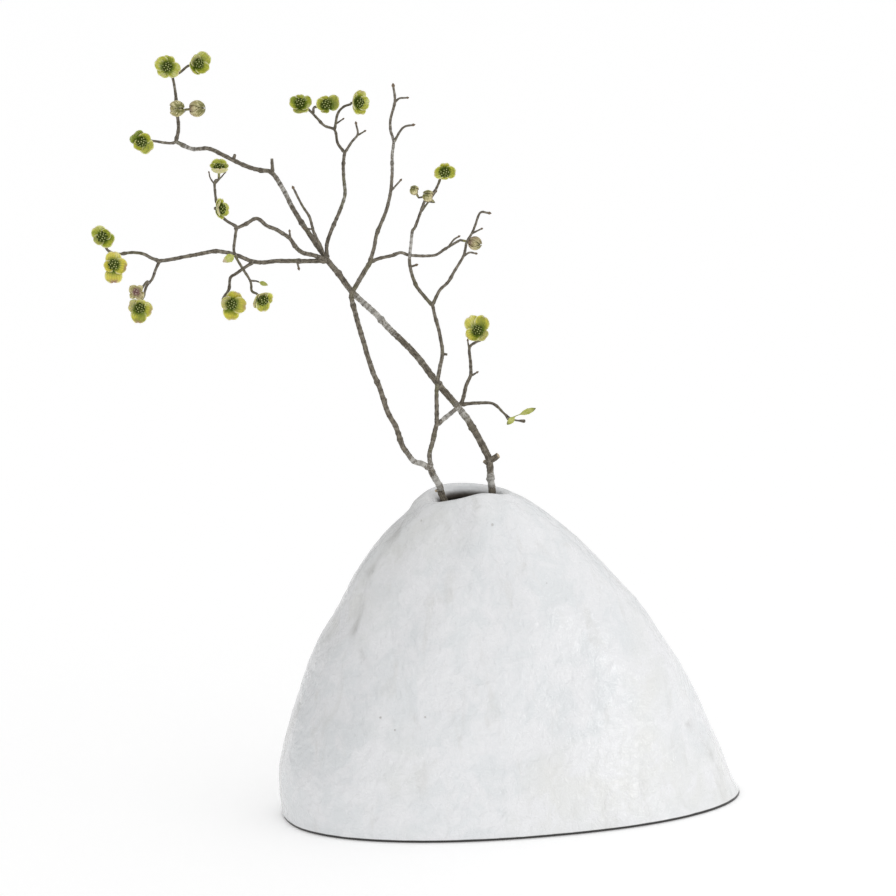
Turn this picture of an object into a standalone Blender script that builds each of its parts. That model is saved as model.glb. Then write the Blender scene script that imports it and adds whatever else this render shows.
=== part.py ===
"""Two cut flowering branches in a hand-built white vase.

Metres, +Z up. Seen from the front, +X is to the right and +Y goes away. The origin is on the
floor under the vase's foot. Sizes below are in millimetres and are turned into metres where
the meshes are made.
"""

import math
import random
from collections import namedtuple

import bmesh
import bpy
from mathutils import Matrix, Vector

MM = 0.001
SHARP_ANGLE = 50  # edges bent more than this are shaded sharp, in degrees
GAP = 0.3  # left between pieces that touch
EYE = Vector((-45, -2517, 729))  # where the routes below are seen from

# Vase
Section = namedtuple("Section", "height width depth across away turn")
# Half width and half depth of the outside, the place of its middle and its turn in degrees
VASE_SECTIONS = (
    Section(0, 170.6, 92, 2.9, 8, 17),
    Section(16, 168, 93, -2.5, 8, 17),
    Section(43, 162.3, 91, -7.8, 7, 16),
    Section(69, 151.7, 88, -10.7, 6, 15),
    Section(96, 139.7, 84, -11.9, 5, 13),
    Section(122, 126.3, 78, -14.3, 3, 11),
    Section(149, 109.7, 71, -15.7, 1, 9),
    Section(175, 91.2, 61, -20.7, -2, 7),
    Section(201, 67.9, 48, -23.9, -4, 4),
    Section(219, 48.1, 36, -25.8, -6, 2),
    Section(231, 36, 27, -31, -6, 0),
)
VASE_TOP = 233
VASE_SIDES = 32
FOOT_ROUNDING = 2
FOOT_LUMPINESS = 0.2
FLOOR = 9
WALL = 7
FLOOR_INSET = WALL + 4  # the floor meets the wall in a small bevel
SMOOTH_HEIGHT = 60  # the lumps fade out below this
LIP_RADIUS = 6
MOUTH_CREST = (29, 22)  # half width and half depth of the lip's highest line
SQUARENESS = (2.2, 2.0)  # exponent of the outline at the foot and at the mouth
LIP_ANGLES = (62, 90, 120, 150, 195)  # rings over the lip, from outside to inside
LIP_DIP = 4.5  # the lip sinks at the left front, where the thin branch leaves
LIP_DIP_DIRECTION = 200
LIP_DIP_REACH = 42
LIP_WAVE = 0.8
LIP_TILT = 1.2  # and it rises towards the back
LIP_BEGINS = 196  # height above which the outside follows the lip
OUTER_HEIGHTS = (16, 36, 60, 84, 108, 132, 155, 176, 195, 210, 220, 227)
INNER_HEIGHTS = (214, 196, 172, 142, 104, 60, 26, FLOOR + 4)
LUMP = 0.8
# Soft lumps: waves round the vase, waves up it, size and start
LUMP_WAVES = ((3, 5, 1, 0.6), (5, -7, 0.8, 2.1), (8, 11, 0.6, 4.0), (11, -15, 0.5, 1.3))

# Twigs
Twig = namedtuple("Twig", "thick thin end route inside", defaults=((),))
RING_SPACING = 14
KNUCKLE_SPACING = (38, 66)
KNUCKLE_REACH = 1.8
KNUCKLE_SWELL = 0.22
COLLAR_SWELL = 1.12
COLLAR_PLACE = 1.3  # how far out the collar lies, over the twig's radius
ROOT_SHARE = 0.85  # radius of the hidden start over the twig's radius
# How a twig ends: distance and radius of each closing ring over the twig's last radius
KNOB_RINGS = ((0.5, 0.8), (0.8, 0.4))
TIP_RINGS = ((1, 1.5), (3.4, 0.35))
TWIG_APPROACH = 2.2  # a twig heads straight for what it carries over this length
SPUR_LENGTH = 10  # shorter twigs have no collar and no knuckles
# Sides of a twig thicker than the first number
TWIG_SIDES = ((2.2, 7), (0.95, 5), (0, 4))
RIGHT_STEM_FOOT = (-4, 26, FLOOR + GAP + 0.3)
LEFT_STEM_FOOT = (52, -30, FLOOR + GAP + 1.3)

# Blooms
Bloom = namedtuple("Bloom", "place yaw pitch cup bracts")
BRACT_THICKNESS = 0.62
BRACT_LAYER = 0.48  # the crossed pairs lie this far above and below the cup's middle surface
BRACT_WIDTH = 13
BRACT_STOUTNESS = 1.35  # a short bract is at most this many times as wide as long
BRACT_NOTCH = 0.08  # the tip is this share shorter in its middle
TIP_CORNERS = 1.3  # and this many times as much shorter at its two corners
BRACT_ROOT = 0.6  # a bract starts this far from the middle, inside the seat
# Share of the length, half width over the full width, and how far the edges curl
BRACT_ROWS = ((0, 0, 0), (0.6, 0.5, 0.2), (1, 0.33, 1))
SCALE_ROWS = ((0, 0, 0), (0.36, 0.46, 0), (0.72, 0.48, 0.2), (1, 0.14, 0.2))
BRACT_CURL = 0.35
# Direction of each bud scale, and its width over the bud's stated width: the outer pair is wider
BUD_SCALES = ((90, 1.3), (0, 0.9), (-90, 1.3), (180, 0.9))
STALK_LENGTH = 4.6
STALK_RADIUS = 0.85
STALK_SIDES = 5
NECK = (-0.9, 1.4)  # height and radius where the stalk widens to its seat
SEAT_RADIUS = 2.0
SEAT_TOP = 1.2
HEAD_RADIUS = 3.8
HEAD_FOOT = 1.4  # radius of the head where it sits on the bracts
HEAD_FOOT_SHARE = 0.6  # at most this share of the head's radius
HEAD_RINGS = 4
BUD_HEAD_RINGS = 2
FLORET_RISE = 0.5
FLORET_DIP = -0.1
DOME_END = 92  # degrees from the dome's top to its widest place
DOME_LIFT = 0.42  # height of the widest place over the head's radius
DOME_HEIGHT = 0.62  # height of the dome over its radius

# Place (across, up, toward), turn to the right and up from facing the eye, how many degrees
# a bract bends inwards over 10 mm, and the direction and length of each of the four bracts
BLOOMS = {
    "bloom_01": Bloom((-240.4, 532, -60), 2, 0, 40, ((75, 8.4), (150, 10.6), (-125, 8.4), (-28, 11.4))),
    "bloom_02": Bloom((-219.5, 533.8, -52), 26, 8, 62, ((38, 11.5), (135, 8.4), (-135, 9.6), (-50, 10.4))),
    "bloom_03": Bloom((-259.5, 480.5, -54), 14, -14, 55, ((-42, 10.2), (48, 8.2), (138, 10), (-130, 7.4))),
    "bloom_04": Bloom((-205, 459.4, 40), 4, 60, 74, ((90, 9.4), (0, 8), (-90, 10.8), (180, 8))),
    "bloom_05": Bloom((-206, 432.8, 36), 56, 2, 66, ((82, 7.2), (170, 10.4), (-100, 7.4), (-10, 8.6))),
    "bloom_06": Bloom((-287.2, 412.6, 49), -6, 10, 48, ((125, 9), (40, 7), (-35, 9.6), (-145, 7.2))),
    "bloom_07": Bloom((-280, 393.3, 52), 2, 4, 34, ((92, 9.4), (-10, 10.4), (-90, 14.6), (-162, 7.2))),
    "bloom_08": Bloom((-262.6, 363.1, 39), 14, -8, 42, ((-18, 9.2), (72, 6.4), (163, 7.8), (-97, 12))),
    "bloom_09": Bloom((-198.2, 365.6, 28), 18, -6, 46, ((66, 9.8), (-8, 11.8), (-92, 11.8), (165, 8.6))),
    "bloom_10": Bloom((-176.4, 369.6, 46), 32, -28, 62, ((8, 7.8), (100, 6.8), (-168, 8.8), (-80, 9.8))),
    "bloom_11": Bloom((-148, 505.8, -52), -2, 24, 58, ((92, 6.8), (-4, 10.6), (-84, 9.3), (178, 8.9))),
    "bloom_12": Bloom((-130.2, 505, -43), 8, 16, 59, ((100, 6.6), (12, 12.6), (-105, 5.6), (178, 8.6))),
    "bloom_13": Bloom((-108.4, 507.2, -49), 38, 2, 60, ((78, 9.3), (-10, 9.2), (-88, 9.6), (172, 11))),
    "bloom_14": Bloom((-47.4, 459.6, 22), 2, -24, 44, ((88, 5.8), (-6, 8.2), (-90, 6), (-172, 7.9))),
    "bloom_15": Bloom((-23.8, 345.6, -20), -8, 20, 40, ((127, 12.6), (64, 12.8), (-38, 8.2), (-142, 10))),
}

# Closed and half-open buds: the place is this far above the stalk's end, then as above,
# with one length and width for the four scales, the radius and colour of the head, and how
# far the four scales are turned about the stalk
Bud = namedtuple("Bud", "place middle yaw pitch bend length width core heart turn", defaults=(0,))
BUDS = {
    "bud_01": Bud((-234, 503, -47.5), 5, 28, 2, 112, 13.4, 9.4, 1.8, "head_green"),
    "bud_02": Bud((-220, 503, -48), 5.2, 52, 4, 108, 14, 9.8, 1.8, "head_green"),
    "bud_03": Bud((-264, 373.8, 48), 0, -8, 12, 30, 5.8, 6, 2.4, "head_purple", 45),
    "bud_04": Bud((-68.6, 446, 22), 3, -22, 33, 207, 7.6, 5.25, 0.9, "head_green"),
    "bud_05": Bud((-59, 442, 24), 3.6, -28, 26, 166, 9.8, 6.2, 1.0, "head_green"),
    "bud_06": Bud((-26.2, 408.6, -36), 4.2, 74, -12, 134, 11.8, 7.3, 1.4, "head_green"),
}

# Share of the blade behind its stalk, and half width over full width
LEAF_ROWS = ((0, 0.02), (0.25, 0.38), (0.5, 0.5), (0.78, 0.36), (1, 0.02))
LEAF_THICKNESS = 0.8
LEAF_EDGE = 0.3  # half width where the blade is narrowest
LEAF_FOLD = 0.25  # the edges stand this share of the half width above the midrib

# Young leaves: where each blade starts and ends, its widest place and its stalk's share
Leaf = namedtuple("Leaf", "start end width stalk arch")
LEAVES = {
    "leaf_01": (Leaf((-195, 400, 41), (-203, 395.5, 50), 5.8, 0.1, 1.2),),
    "leaf_02": (Leaf((-178, 381.2, 39), (-171.8, 379, 43.5), 2.8, 0.15, 0.8),),
    "leaf_03": (
        Leaf((-1, 284, -13), (17, 291, -8), 3.8, 0.42, 1.2),
        Leaf((3, 285.6, -12), (-3.2, 279.5, -6), 4, 0.2, 0.6),
    ),
}

RIGHT_TWIGS = {
    "stem": Twig(
        3.0,
        2.0,
        "knob",
        (
            (-13.4, 229, 4),
            (-15, 243, 5),
            (-16, 254, 6),
            (-22, 267, 6),
            (-34, 287, 5),
            (-52.6, 309.5, 2),
            (-67.7, 329.3, -1),
            (-85.7, 347.3, -5),
            (-96.7, 359.3, -8),
            (-111.6, 373.4, -12),
            (-122, 387, -15),
            (-131, 398, -17),
        ),
        (RIGHT_STEM_FOOT, (-5, 22, 60), (-8, 11, 140), (-12.4, -1, 206)),
    ),
    "stem_stub": Twig(2.3, 2.1, "cut", ((-16, 253, 6), (-9.5, 257, 8))),
    "stem_ledge": Twig(1.7, 1.2, "cut", ((-15, 250, 6), (-19.5, 253, 7))),
    "high": Twig(
        1.8,
        1.4,
        "knob",
        (
            (-130, 396, -17),
            (-141, 413, -22),
            (-153, 432, -29),
            (-160, 446, -34),
            (-168, 458, -38),
            (-176, 460, -41),
            (-184, 462, -44),
            (-195, 467, -48),
            (-201, 470, -50),
            (-212, 475, -54),
            (-224, 475, -58),
            (-235, 480, -61),
        ),
    ),
    "high_knee": Twig(1.3, 1.0, "cut", ((-168, 457, -38), (-168, 468, -39))),
    "high_knot": Twig(1.4, 1.1, "knob", ((-195, 467, -48), (-194, 470.4, -47))),
    "high_left": Twig(1.0, STALK_RADIUS, "bloom_03", ((-234, 480, -61), (-241, 479, -61))),
    "high_up": Twig(
        1.35,
        STALK_RADIUS,
        "bloom_01",
        (
            (-235, 479, -61),
            (-233, 489, -61),
            (-234, 503, -62),
            (-235, 516, -65),
            (-237, 526, -67),
        ),
    ),
    "high_side": Twig(
        0.95,
        STALK_RADIUS,
        "bloom_02",
        ((-236.5, 525.5, -66.5), (-231.5, 528, -66), (-226, 532.5, -63)),
    ),
    "high_bud_01": Twig(0.9, STALK_RADIUS, "bud_01", ((-234.6, 503, -62),)),
    "high_bud_02": Twig(0.8, STALK_RADIUS, "bud_02", ((-234, 500, -62), (-229, 501, -58))),
    "thin": Twig(
        1.2,
        0.75,
        "tip",
        (
            (-132, 397, -17),
            (-135, 408, -13),
            (-139, 416, -10),
            (-142, 427, -6),
            (-147, 435, -3),
            (-153, 447, 1),
        ),
    ),
    "thin_spur": Twig(0.8, 0.6, "tip", ((-140, 418, -9), (-145, 419, -8))),
    "middle": Twig(
        1.4,
        1.1,
        "knob",
        (
            (-130, 396, -17),
            (-130, 407, -21),
            (-127, 417, -26),
            (-123, 426, -30),
            (-119, 436, -34),
            (-117, 444, -37),
            (-118, 456, -41),
            (-118, 466, -45),
            (-117, 473, -47),
        ),
    ),
    "middle_left": Twig(
        1.05,
        STALK_RADIUS,
        "bloom_11",
        (
            (-117, 472, -47),
            (-122, 479, -50),
            (-124, 488, -53),
            (-131, 491, -55),
            (-136, 496, -57),
            (-143, 503, -59),
        ),
    ),
    "middle_pair": Twig(0.9, STALK_RADIUS, "bloom_12", ((-139, 499, -58), (-138, 504, -53))),
    "middle_up": Twig(
        0.95,
        STALK_RADIUS,
        "bloom_13",
        ((-124, 488, -53), (-122, 499, -54), (-118, 504, -54), (-113, 506, -53)),
    ),
    "middle_stub": Twig(0.7, 0.5, "tip", ((-123, 492, -53), (-118.5, 495.5, -53))),
    "middle_right": Twig(
        1.0,
        0.7,
        "tip",
        ((-117, 472, -47), (-112, 480, -44), (-108, 485, -42), (-109, 492, -41)),
    ),
    "middle_tip": Twig(0.75, 0.55, "tip", ((-108.5, 484, -42), (-103.5, 487, -42))),
    "low": Twig(
        1.6,
        1.2,
        "knob",
        (
            (-130, 397, -17),
            (-139, 400, -11),
            (-147, 402, -5),
            (-152, 406, 1),
            (-156, 412, 6),
            (-165, 418, 13),
            (-172, 421, 18),
            (-179, 426, 23),
            (-187, 422, 28),
            (-194, 419, 31),
        ),
    ),
    "low_spur": Twig(0.8, 0.6, "tip", ((-155.5, 411, 6), (-156, 416.5, 7))),
    "low_up": Twig(
        1.05,
        STALK_RADIUS,
        "bloom_04",
        (
            (-192, 420, 31),
            (-202, 426, 29),
            (-206.5, 436, 29),
            (-208, 445, 31),
            (-208, 452, 33),
        ),
    ),
    "low_prong_left": Twig(
        0.6,
        0.45,
        "tip",
        ((-208, 450, 32), (-211.2, 454.5, 33), (-212, 458, 34)),
    ),
    "low_prong_right": Twig(
        0.6,
        0.45,
        "tip",
        ((-208, 450, 32), (-204.5, 454, 32), (-201, 458, 33)),
    ),
    "low_side": Twig(0.9, STALK_RADIUS, "bloom_05", ((-206, 432, 29), (-208, 433.5, 32))),
    "low_down": Twig(
        1.05,
        STALK_RADIUS,
        "bloom_10",
        (
            (-193, 421, 31),
            (-194.5, 411, 34),
            (-195, 402, 37),
            (-190, 392, 40),
            (-184, 382, 41),
            (-183, 375, 40),
        ),
    ),
    "low_leaf_01": Twig(0.7, 0.6, "leaf_01", ((-195, 401.5, 36.5),)),
    "low_leaf_02": Twig(0.7, 0.6, "leaf_02", ((-184.5, 382, 41),)),
    "far": Twig(
        1.6,
        1.25,
        "knob",
        (
            (-129, 396, -17),
            (-139, 396, -13),
            (-151, 396, -7),
            (-165, 396, 0),
            (-175, 395, 6),
            (-183, 396, 10),
            (-193, 400, 15),
            (-200, 402, 18),
            (-209, 403, 21),
            (-219, 401, 24),
            (-230, 399, 28),
            (-240, 397, 32),
            (-249, 396, 35),
        ),
    ),
    "far_spur": Twig(0.9, 0.7, "tip", ((-151, 396, -7), (-150, 391.5, -7))),
    "far_down": Twig(
        1.2,
        STALK_RADIUS,
        "bloom_09",
        (
            (-181, 396, 9),
            (-187, 392, 12),
            (-194, 387, 14),
            (-198, 384, 15),
            (-199, 376, 17),
            (-203, 370, 18),
            (-203, 368, 20),
        ),
    ),
    "far_left": Twig(
        1.2,
        STALK_RADIUS,
        "bloom_06",
        (
            (-247, 396, 35),
            (-253, 398, 36),
            (-259, 401, 37),
            (-267, 402, 38),
            (-276, 401, 40),
            (-283, 403, 41),
            (-286, 408, 42),
        ),
    ),
    "far_hang": Twig(0.9, STALK_RADIUS, "bloom_07", ((-274, 401, 39.5), (-279, 398, 43))),
    "far_low": Twig(
        1.0,
        STALK_RADIUS,
        "bloom_08",
        (
            (-247, 396, 35),
            (-250, 391, 35),
            (-253, 383, 34),
            (-257, 378, 33),
            (-260, 369, 34),
        ),
    ),
    "far_bud": Twig(0.85, STALK_RADIUS, "bud_03", ((-255, 380, 34), (-257, 381, 44))),
}

LEFT_TWIGS = {
    "stem": Twig(
        2.7,
        2.3,
        "knob",
        ((-49, 228, 5), (-51, 235, 7), (-55, 242, 9), (-58, 249, 11)),
        (LEFT_STEM_FOOT, (46, -29, 24), (20, -22, 80), (-15, -15, 155), (-38, -9, 205)),
    ),
    "stem_ledge": Twig(1.4, 1.0, "cut", ((-50, 232, 6), (-53.6, 231.6, 9))),
    "left": Twig(
        1.9,
        1.65,
        "knob",
        (
            (-57, 247, 11),
            (-63, 251, 12),
            (-69, 253, 13),
            (-74, 259, 13),
            (-78, 266, 14),
            (-82, 278, 14),
            (-88, 289, 14),
            (-93, 305, 13),
            (-99, 320, 13),
            (-107, 347, 12),
            (-110, 358, 11),
            (-113, 371, 11),
            (-110, 378, 11),
            (-99, 396, 9),
        ),
    ),
    "left_stub": Twig(1.0, 0.8, "cut", ((-88, 290, 14), (-89, 298, 14))),
    "left_up": Twig(
        1.4,
        0.85,
        "tip",
        (
            (-100, 394, 9),
            (-97, 405, 11),
            (-95, 415, 14),
            (-90, 427, 18),
            (-87, 436, 21),
            (-85, 446, 24),
            (-84, 459, 27),
            (-84, 470, 30),
            (-83, 480, 32),
            (-85, 488, 34),
            (-85, 496, 36),
            (-82, 508, 39),
            (-83, 518, 41),
        ),
    ),
    "left_up_spur": Twig(0.8, 0.6, "tip", ((-85.5, 445, 24), (-78.5, 452.5, 25))),
    "left_up_fork": Twig(
        0.95,
        0.7,
        "tip",
        ((-83.5, 479, 32), (-78.5, 487, 33), (-75, 490.5, 34), (-70, 491.5, 35)),
    ),
    "left_up_tip": Twig(0.8, 0.6, "tip", ((-82.5, 507, 39), (-79, 510, 39), (-74, 510.5, 39))),
    "left_across": Twig(
        1.25,
        STALK_RADIUS,
        "bud_06",
        (
            (-99, 395, 9),
            (-93, 398, 5),
            (-84, 400, 1),
            (-78, 402, -4),
            (-71, 400, -9),
            (-55, 400, -18),
            (-48, 404, -24),
            (-43, 407, -30),
        ),
    ),
    "left_across_spur": Twig(
        0.75,
        0.6,
        "tip",
        ((-43, 407.5, -26), (-41, 411, -26), (-38, 413, -26)),
    ),
    "right": Twig(
        1.7,
        1.15,
        "knob",
        (
            (-57, 247, 11),
            (-58, 258, 10),
            (-56, 267, 8),
            (-54, 276, 7),
            (-53, 281, 7),
            (-53, 293, 11),
            (-53, 305, 15),
            (-51, 319, 17),
            (-49, 331, 18),
            (-51, 345, 19),
            (-54, 356, 20),
            (-56, 366, 21),
        ),
    ),
    "right_spur": Twig(1.0, 0.8, "cut", ((-49.5, 330, 18), (-45.5, 329.5, 18))),
    "right_up": Twig(
        1.3,
        STALK_RADIUS,
        "bloom_14",
        (
            (-55.5, 364, 21),
            (-65, 375, 18),
            (-68, 380, 16),
            (-71, 389, 13),
            (-72, 397, 11),
            (-71, 408, 10),
            (-70, 417, 10),
            (-68, 420, 10),
            (-64, 431, 11),
            (-60, 441, 12),
            (-53.5, 446.5, 14.5),
        ),
    ),
    "right_up_knot": Twig(0.9, 0.7, "tip", ((-71, 392, 12), (-68, 393, 13))),
    "right_up_ball": Twig(
        0.75,
        0.7,
        "tip",
        ((-64, 430, 11), (-60, 436, 9), (-57, 440, 8), (-54, 444.5, 8)),
    ),
    "right_up_bud_04": Twig(0.7, 0.65, "bud_04", ((-59.5, 442, 12),)),
    "right_up_bud_05": Twig(0.7, 0.65, "bud_05", ((-61, 438.2, 12),)),
    "right_fork": Twig(
        1.15,
        0.75,
        "tip",
        (
            (-56.5, 364, 21),
            (-51, 375, 19),
            (-45, 381, 17),
            (-41, 388, 15),
            (-34, 400, 11),
            (-32, 409, 9),
            (-28, 416, 8),
            (-26, 421, 7),
            (-22.5, 430, 6),
            (-17, 430, 6),
        ),
    ),
    "right_fork_low": Twig(0.8, 0.6, "tip", ((-34.5, 399, 11), (-30, 402, 12), (-26, 401.5, 12))),
    "right_fork_high": Twig(0.75, 0.55, "tip", ((-28.5, 415.5, 8), (-22, 418.5, 9))),
    "behind": Twig(
        1.7,
        STALK_RADIUS,
        "bloom_15",
        (
            (-53.5, 279, 7),
            (-46, 285, 0),
            (-39, 291, -7),
            (-35, 296, -10),
            (-32, 308, -14),
            (-29, 315, -17),
            (-29, 323, -19),
            (-30, 334, -22),
            (-26, 338, -26),
            (-20, 341, -29),
        ),
    ),
    "behind_spur_low": Twig(0.8, 0.6, "tip", ((-29.5, 314, -17), (-25, 316.5, -17))),
    "behind_spur_high": Twig(0.7, 0.55, "tip", ((-30, 333, -22), (-31, 339, -21))),
    "behind_right": Twig(
        1.35,
        0.75,
        "leaf_03",
        (
            (-37, 294, -9),
            (-30, 294.5, -10),
            (-16, 295, -12),
            (-11, 293, -13),
            (-7, 289, -14),
            (-4, 286, -14),
        ),
    ),
    "behind_knob": Twig(0.7, 0.65, "cut", ((-6, 287.5, -14), (1, 283, -16), (8, 282, -17))),
    "behind_ball": Twig(0.9, 1.35, "knob", ((5.5, 282.4, -16.5), (8.6, 281.9, -17.1))),
}


def clear_scene():
    for obj in list(bpy.data.objects):
        bpy.data.objects.remove(obj, do_unlink=True)


def make_material(name, colour, roughness):
    material = bpy.data.materials.new(name)
    material.use_nodes = True
    surface = material.node_tree.nodes["Principled BSDF"]
    surface.inputs["Base Color"].default_value = (*colour, 1)
    surface.inputs["Roughness"].default_value = roughness
    surface.inputs["Metallic"].default_value = 0
    return material


def toward_eye(point):
    return (EYE - point).normalized()


def seen(place):
    """The point that looks to be at (across, up) on the upright plane, drawn toward the eye."""
    across, up, toward = place
    on_plane = Vector((across, 0, up))
    return on_plane + toward_eye(on_plane) * toward


def facing(point, yaw, pitch):
    """Axes of a thing at the point: X right, Y up and Z toward the eye, then turned."""
    front = toward_eye(point)
    right = Vector((0, 0, 1)).cross(front).normalized()
    upward = front.cross(right)
    axes = Matrix((right, upward, front)).transposed()
    turn = Matrix.Rotation(math.radians(yaw), 3, "Y") @ Matrix.Rotation(math.radians(-pitch), 3, "X")
    return axes @ turn


def smooth_path(points, spacing):
    """Points about the spacing apart on a curve through the given points."""
    padded = [points[0] * 2 - points[1], *points, points[-1] * 2 - points[-2]]
    path = []
    for before, start, end, after in zip(padded, padded[1:], padded[2:], padded[3:]):
        count = max(1, round((end - start).length / spacing))
        for step in range(count):
            t = step / count
            path.append(
                0.5
                * (
                    2 * start
                    + (end - before) * t
                    + (2 * before - 5 * start + 4 * end - after) * t**2
                    + (3 * start - before - 3 * end + after) * t**3
                )
            )
    path.append(points[-1].copy())
    return path


def blend_sections(height):
    """The vase's outside at a height, on smooth curves through the stated sections."""
    last = len(VASE_SECTIONS) - 1
    low = max(i for i in range(last) if VASE_SECTIONS[i].height <= height or i == 0)
    before = VASE_SECTIONS[max(low - 1, 0)]
    start = VASE_SECTIONS[low]
    end = VASE_SECTIONS[low + 1]
    after = VASE_SECTIONS[min(low + 2, last)]
    span = end.height - start.height
    t = (height - start.height) / span
    values = []
    for a, b, c, d in zip(before, start, end, after):
        leave = (c - a) / (end.height - before.height) * span
        arrive = (d - b) / (after.height - start.height) * span
        values.append(
            b * (2 * t**3 - 3 * t**2 + 1)
            + leave * (t**3 - 2 * t**2 + t)
            + c * (3 * t**2 - 2 * t**3)
            + arrive * (t**3 - t**2)
        )
    return Section(*values)


def near(angle, middle, reach):
    """1 at the middle angle, fading to 0 beyond its reach, all in degrees."""
    away = (angle - middle + 180) % 360 - 180
    return math.exp(-((away / reach) ** 2))


def lumps(angle, height):
    """Soft hand-pressed hollows and swellings of the outside."""
    turn = math.radians(angle)
    rise = height / VASE_TOP
    waves = (
        size * math.sin(around * turn + upward * rise + start)
        for around, upward, size, start in LUMP_WAVES
    )
    return LUMP * sum(waves)


def lip_drop(angle, height):
    """How far the lip lies below level: lowest at the left front, highest at the back."""
    share = max(0, (height - LIP_BEGINS) / (VASE_TOP - LIP_BEGINS)) ** 2
    dip = LIP_DIP * near(angle, LIP_DIP_DIRECTION, LIP_DIP_REACH)
    dip += LIP_WAVE * math.sin(math.radians(2 * angle + 40))
    return share * (dip - LIP_TILT * math.sin(math.radians(angle)))


def vase_ring(bm, height, width, depth, lumpiness):
    """One ring of the vase's skin, of the given half width and half depth at a height."""
    section = blend_sections(min(height, VASE_SECTIONS[-1].height))
    share = height / VASE_TOP
    power = 2 / (SQUARENESS[0] + (SQUARENESS[1] - SQUARENESS[0]) * share)
    turned = Matrix.Rotation(math.radians(section.turn), 3, "Z")
    ring = []
    for i in range(VASE_SIDES):
        angle = 360 * i / VASE_SIDES
        c = math.cos(math.radians(angle))
        s = math.sin(math.radians(angle))
        swell = lumpiness * lumps(angle, height)
        x = math.copysign(abs(c) ** power, c) * (width + swell)
        y = math.copysign(abs(s) ** power, s) * (depth + swell)
        point = turned @ Vector((x, y, 0)) + Vector((section.across, section.away, 0))
        point.z = height - lip_drop(angle, height)
        ring.append(bm.verts.new(point * MM))
    return ring


def bridge(bm, lower, upper):
    count = len(lower)
    for i in range(count):
        j = (i + 1) % count
        bm.faces.new((lower[i], lower[j], upper[j], upper[i]))


def vase_rings(bm):
    """Rings from the foot up the outside, over the lip and down the inside to the floor."""
    base = VASE_SECTIONS[0]
    rings = [
        vase_ring(bm, 0, base.width - FOOT_ROUNDING, base.depth - FOOT_ROUNDING, 0),
        vase_ring(bm, FOOT_ROUNDING, base.width, base.depth, FOOT_LUMPINESS),
    ]
    for height in OUTER_HEIGHTS:
        section = blend_sections(height)
        rings.append(vase_ring(bm, height, section.width, section.depth, min(1, height / SMOOTH_HEIGHT)))
    lip_height = VASE_TOP - LIP_RADIUS
    for degrees in LIP_ANGLES:
        out = LIP_RADIUS * math.cos(math.radians(degrees))
        rise = LIP_RADIUS * math.sin(math.radians(degrees))
        rings.append(vase_ring(bm, lip_height + rise, MOUTH_CREST[0] + out, MOUTH_CREST[1] + out, 0))
    for height in INNER_HEIGHTS:
        section = blend_sections(height)
        steeper = blend_sections(height + 1)
        slope = math.hypot(1, steeper.width - section.width)
        wall = WALL * slope
        rings.append(vase_ring(bm, height, section.width - wall, section.depth - wall, 0))
    floor_section = blend_sections(FLOOR)
    width = floor_section.width - FLOOR_INSET
    depth = floor_section.depth - FLOOR_INSET
    rings.append(vase_ring(bm, FLOOR, width, depth, 0))
    return rings


def make_vase(material):
    bm = bmesh.new()
    rings = vase_rings(bm)
    for lower, upper in zip(rings, rings[1:]):
        bridge(bm, lower, upper)
    bm.faces.new(list(reversed(rings[0])))
    bm.faces.new(rings[-1])
    finish_object("vase", bm, material)


def finish_object(name, bm, material):
    bmesh.ops.recalc_face_normals(bm, faces=bm.faces)
    mesh = bpy.data.meshes.new(name)
    bm.to_mesh(mesh)
    bm.free()
    mesh.shade_smooth()
    mesh.set_sharp_from_angle(angle=math.radians(SHARP_ANGLE))
    mesh.materials.append(material)
    obj = bpy.data.objects.new(name, mesh)
    bpy.context.scene.collection.objects.link(obj)
    return obj


def fuse(name, pieces, material):
    """One solid from overlapping closed pieces, each a bmesh."""
    base = finish_object(name, pieces[0], material)
    if len(pieces) == 1:
        return
    parts = bpy.data.collections.new(name + "_parts")
    bpy.context.scene.collection.children.link(parts)
    for i, piece in enumerate(pieces[1:]):
        obj = finish_object(f"{name}_part_{i}", piece, material)
        bpy.context.scene.collection.objects.unlink(obj)
        parts.objects.link(obj)
    union = base.modifiers.new("joined", "BOOLEAN")
    union.operation = "UNION"
    union.solver = "MANIFOLD"
    union.operand_type = "COLLECTION"
    union.collection = parts
    graph = bpy.context.evaluated_depsgraph_get()
    joined = bpy.data.meshes.new_from_object(base.evaluated_get(graph))
    base.modifiers.clear()
    base.data = joined
    joined.name = name
    for obj in list(parts.objects):
        bpy.data.objects.remove(obj, do_unlink=True)
    bpy.data.collections.remove(parts)


def tube_ring(bm, centre, tangent, side, radius, sides):
    across = (side - tangent * side.dot(tangent)).normalized()
    upward = tangent.cross(across)
    ring = []
    for i in range(sides):
        turn = 2 * math.pi * i / sides
        offset = across * math.cos(turn) + upward * math.sin(turn)
        ring.append(bm.verts.new((centre + offset * radius) * MM))
    return ring, across


def tube(stations, sides):
    """A closed tube through (centre, radius) stations."""
    bm = bmesh.new()
    centres = [centre for centre, _ in stations]
    side = Vector((0.31, 0.87, 0.38))
    rings = []
    for i, (centre, radius) in enumerate(stations):
        ahead = centres[min(i + 1, len(centres) - 1)]
        behind = centres[max(i - 1, 0)]
        ring, side = tube_ring(bm, centre, (ahead - behind).normalized(), side, radius, sides)
        rings.append(ring)
    for lower, upper in zip(rings, rings[1:]):
        bridge(bm, lower, upper)
    bm.faces.new(list(reversed(rings[0])))
    bm.faces.new(rings[-1])
    return bm


def along(path, distance):
    """The point at a distance along the path."""
    for start, end in zip(path, path[1:]):
        length = (end - start).length
        if distance <= length:
            return start.lerp(end, distance / length)
        distance -= length
    return path[-1].copy()


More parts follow.
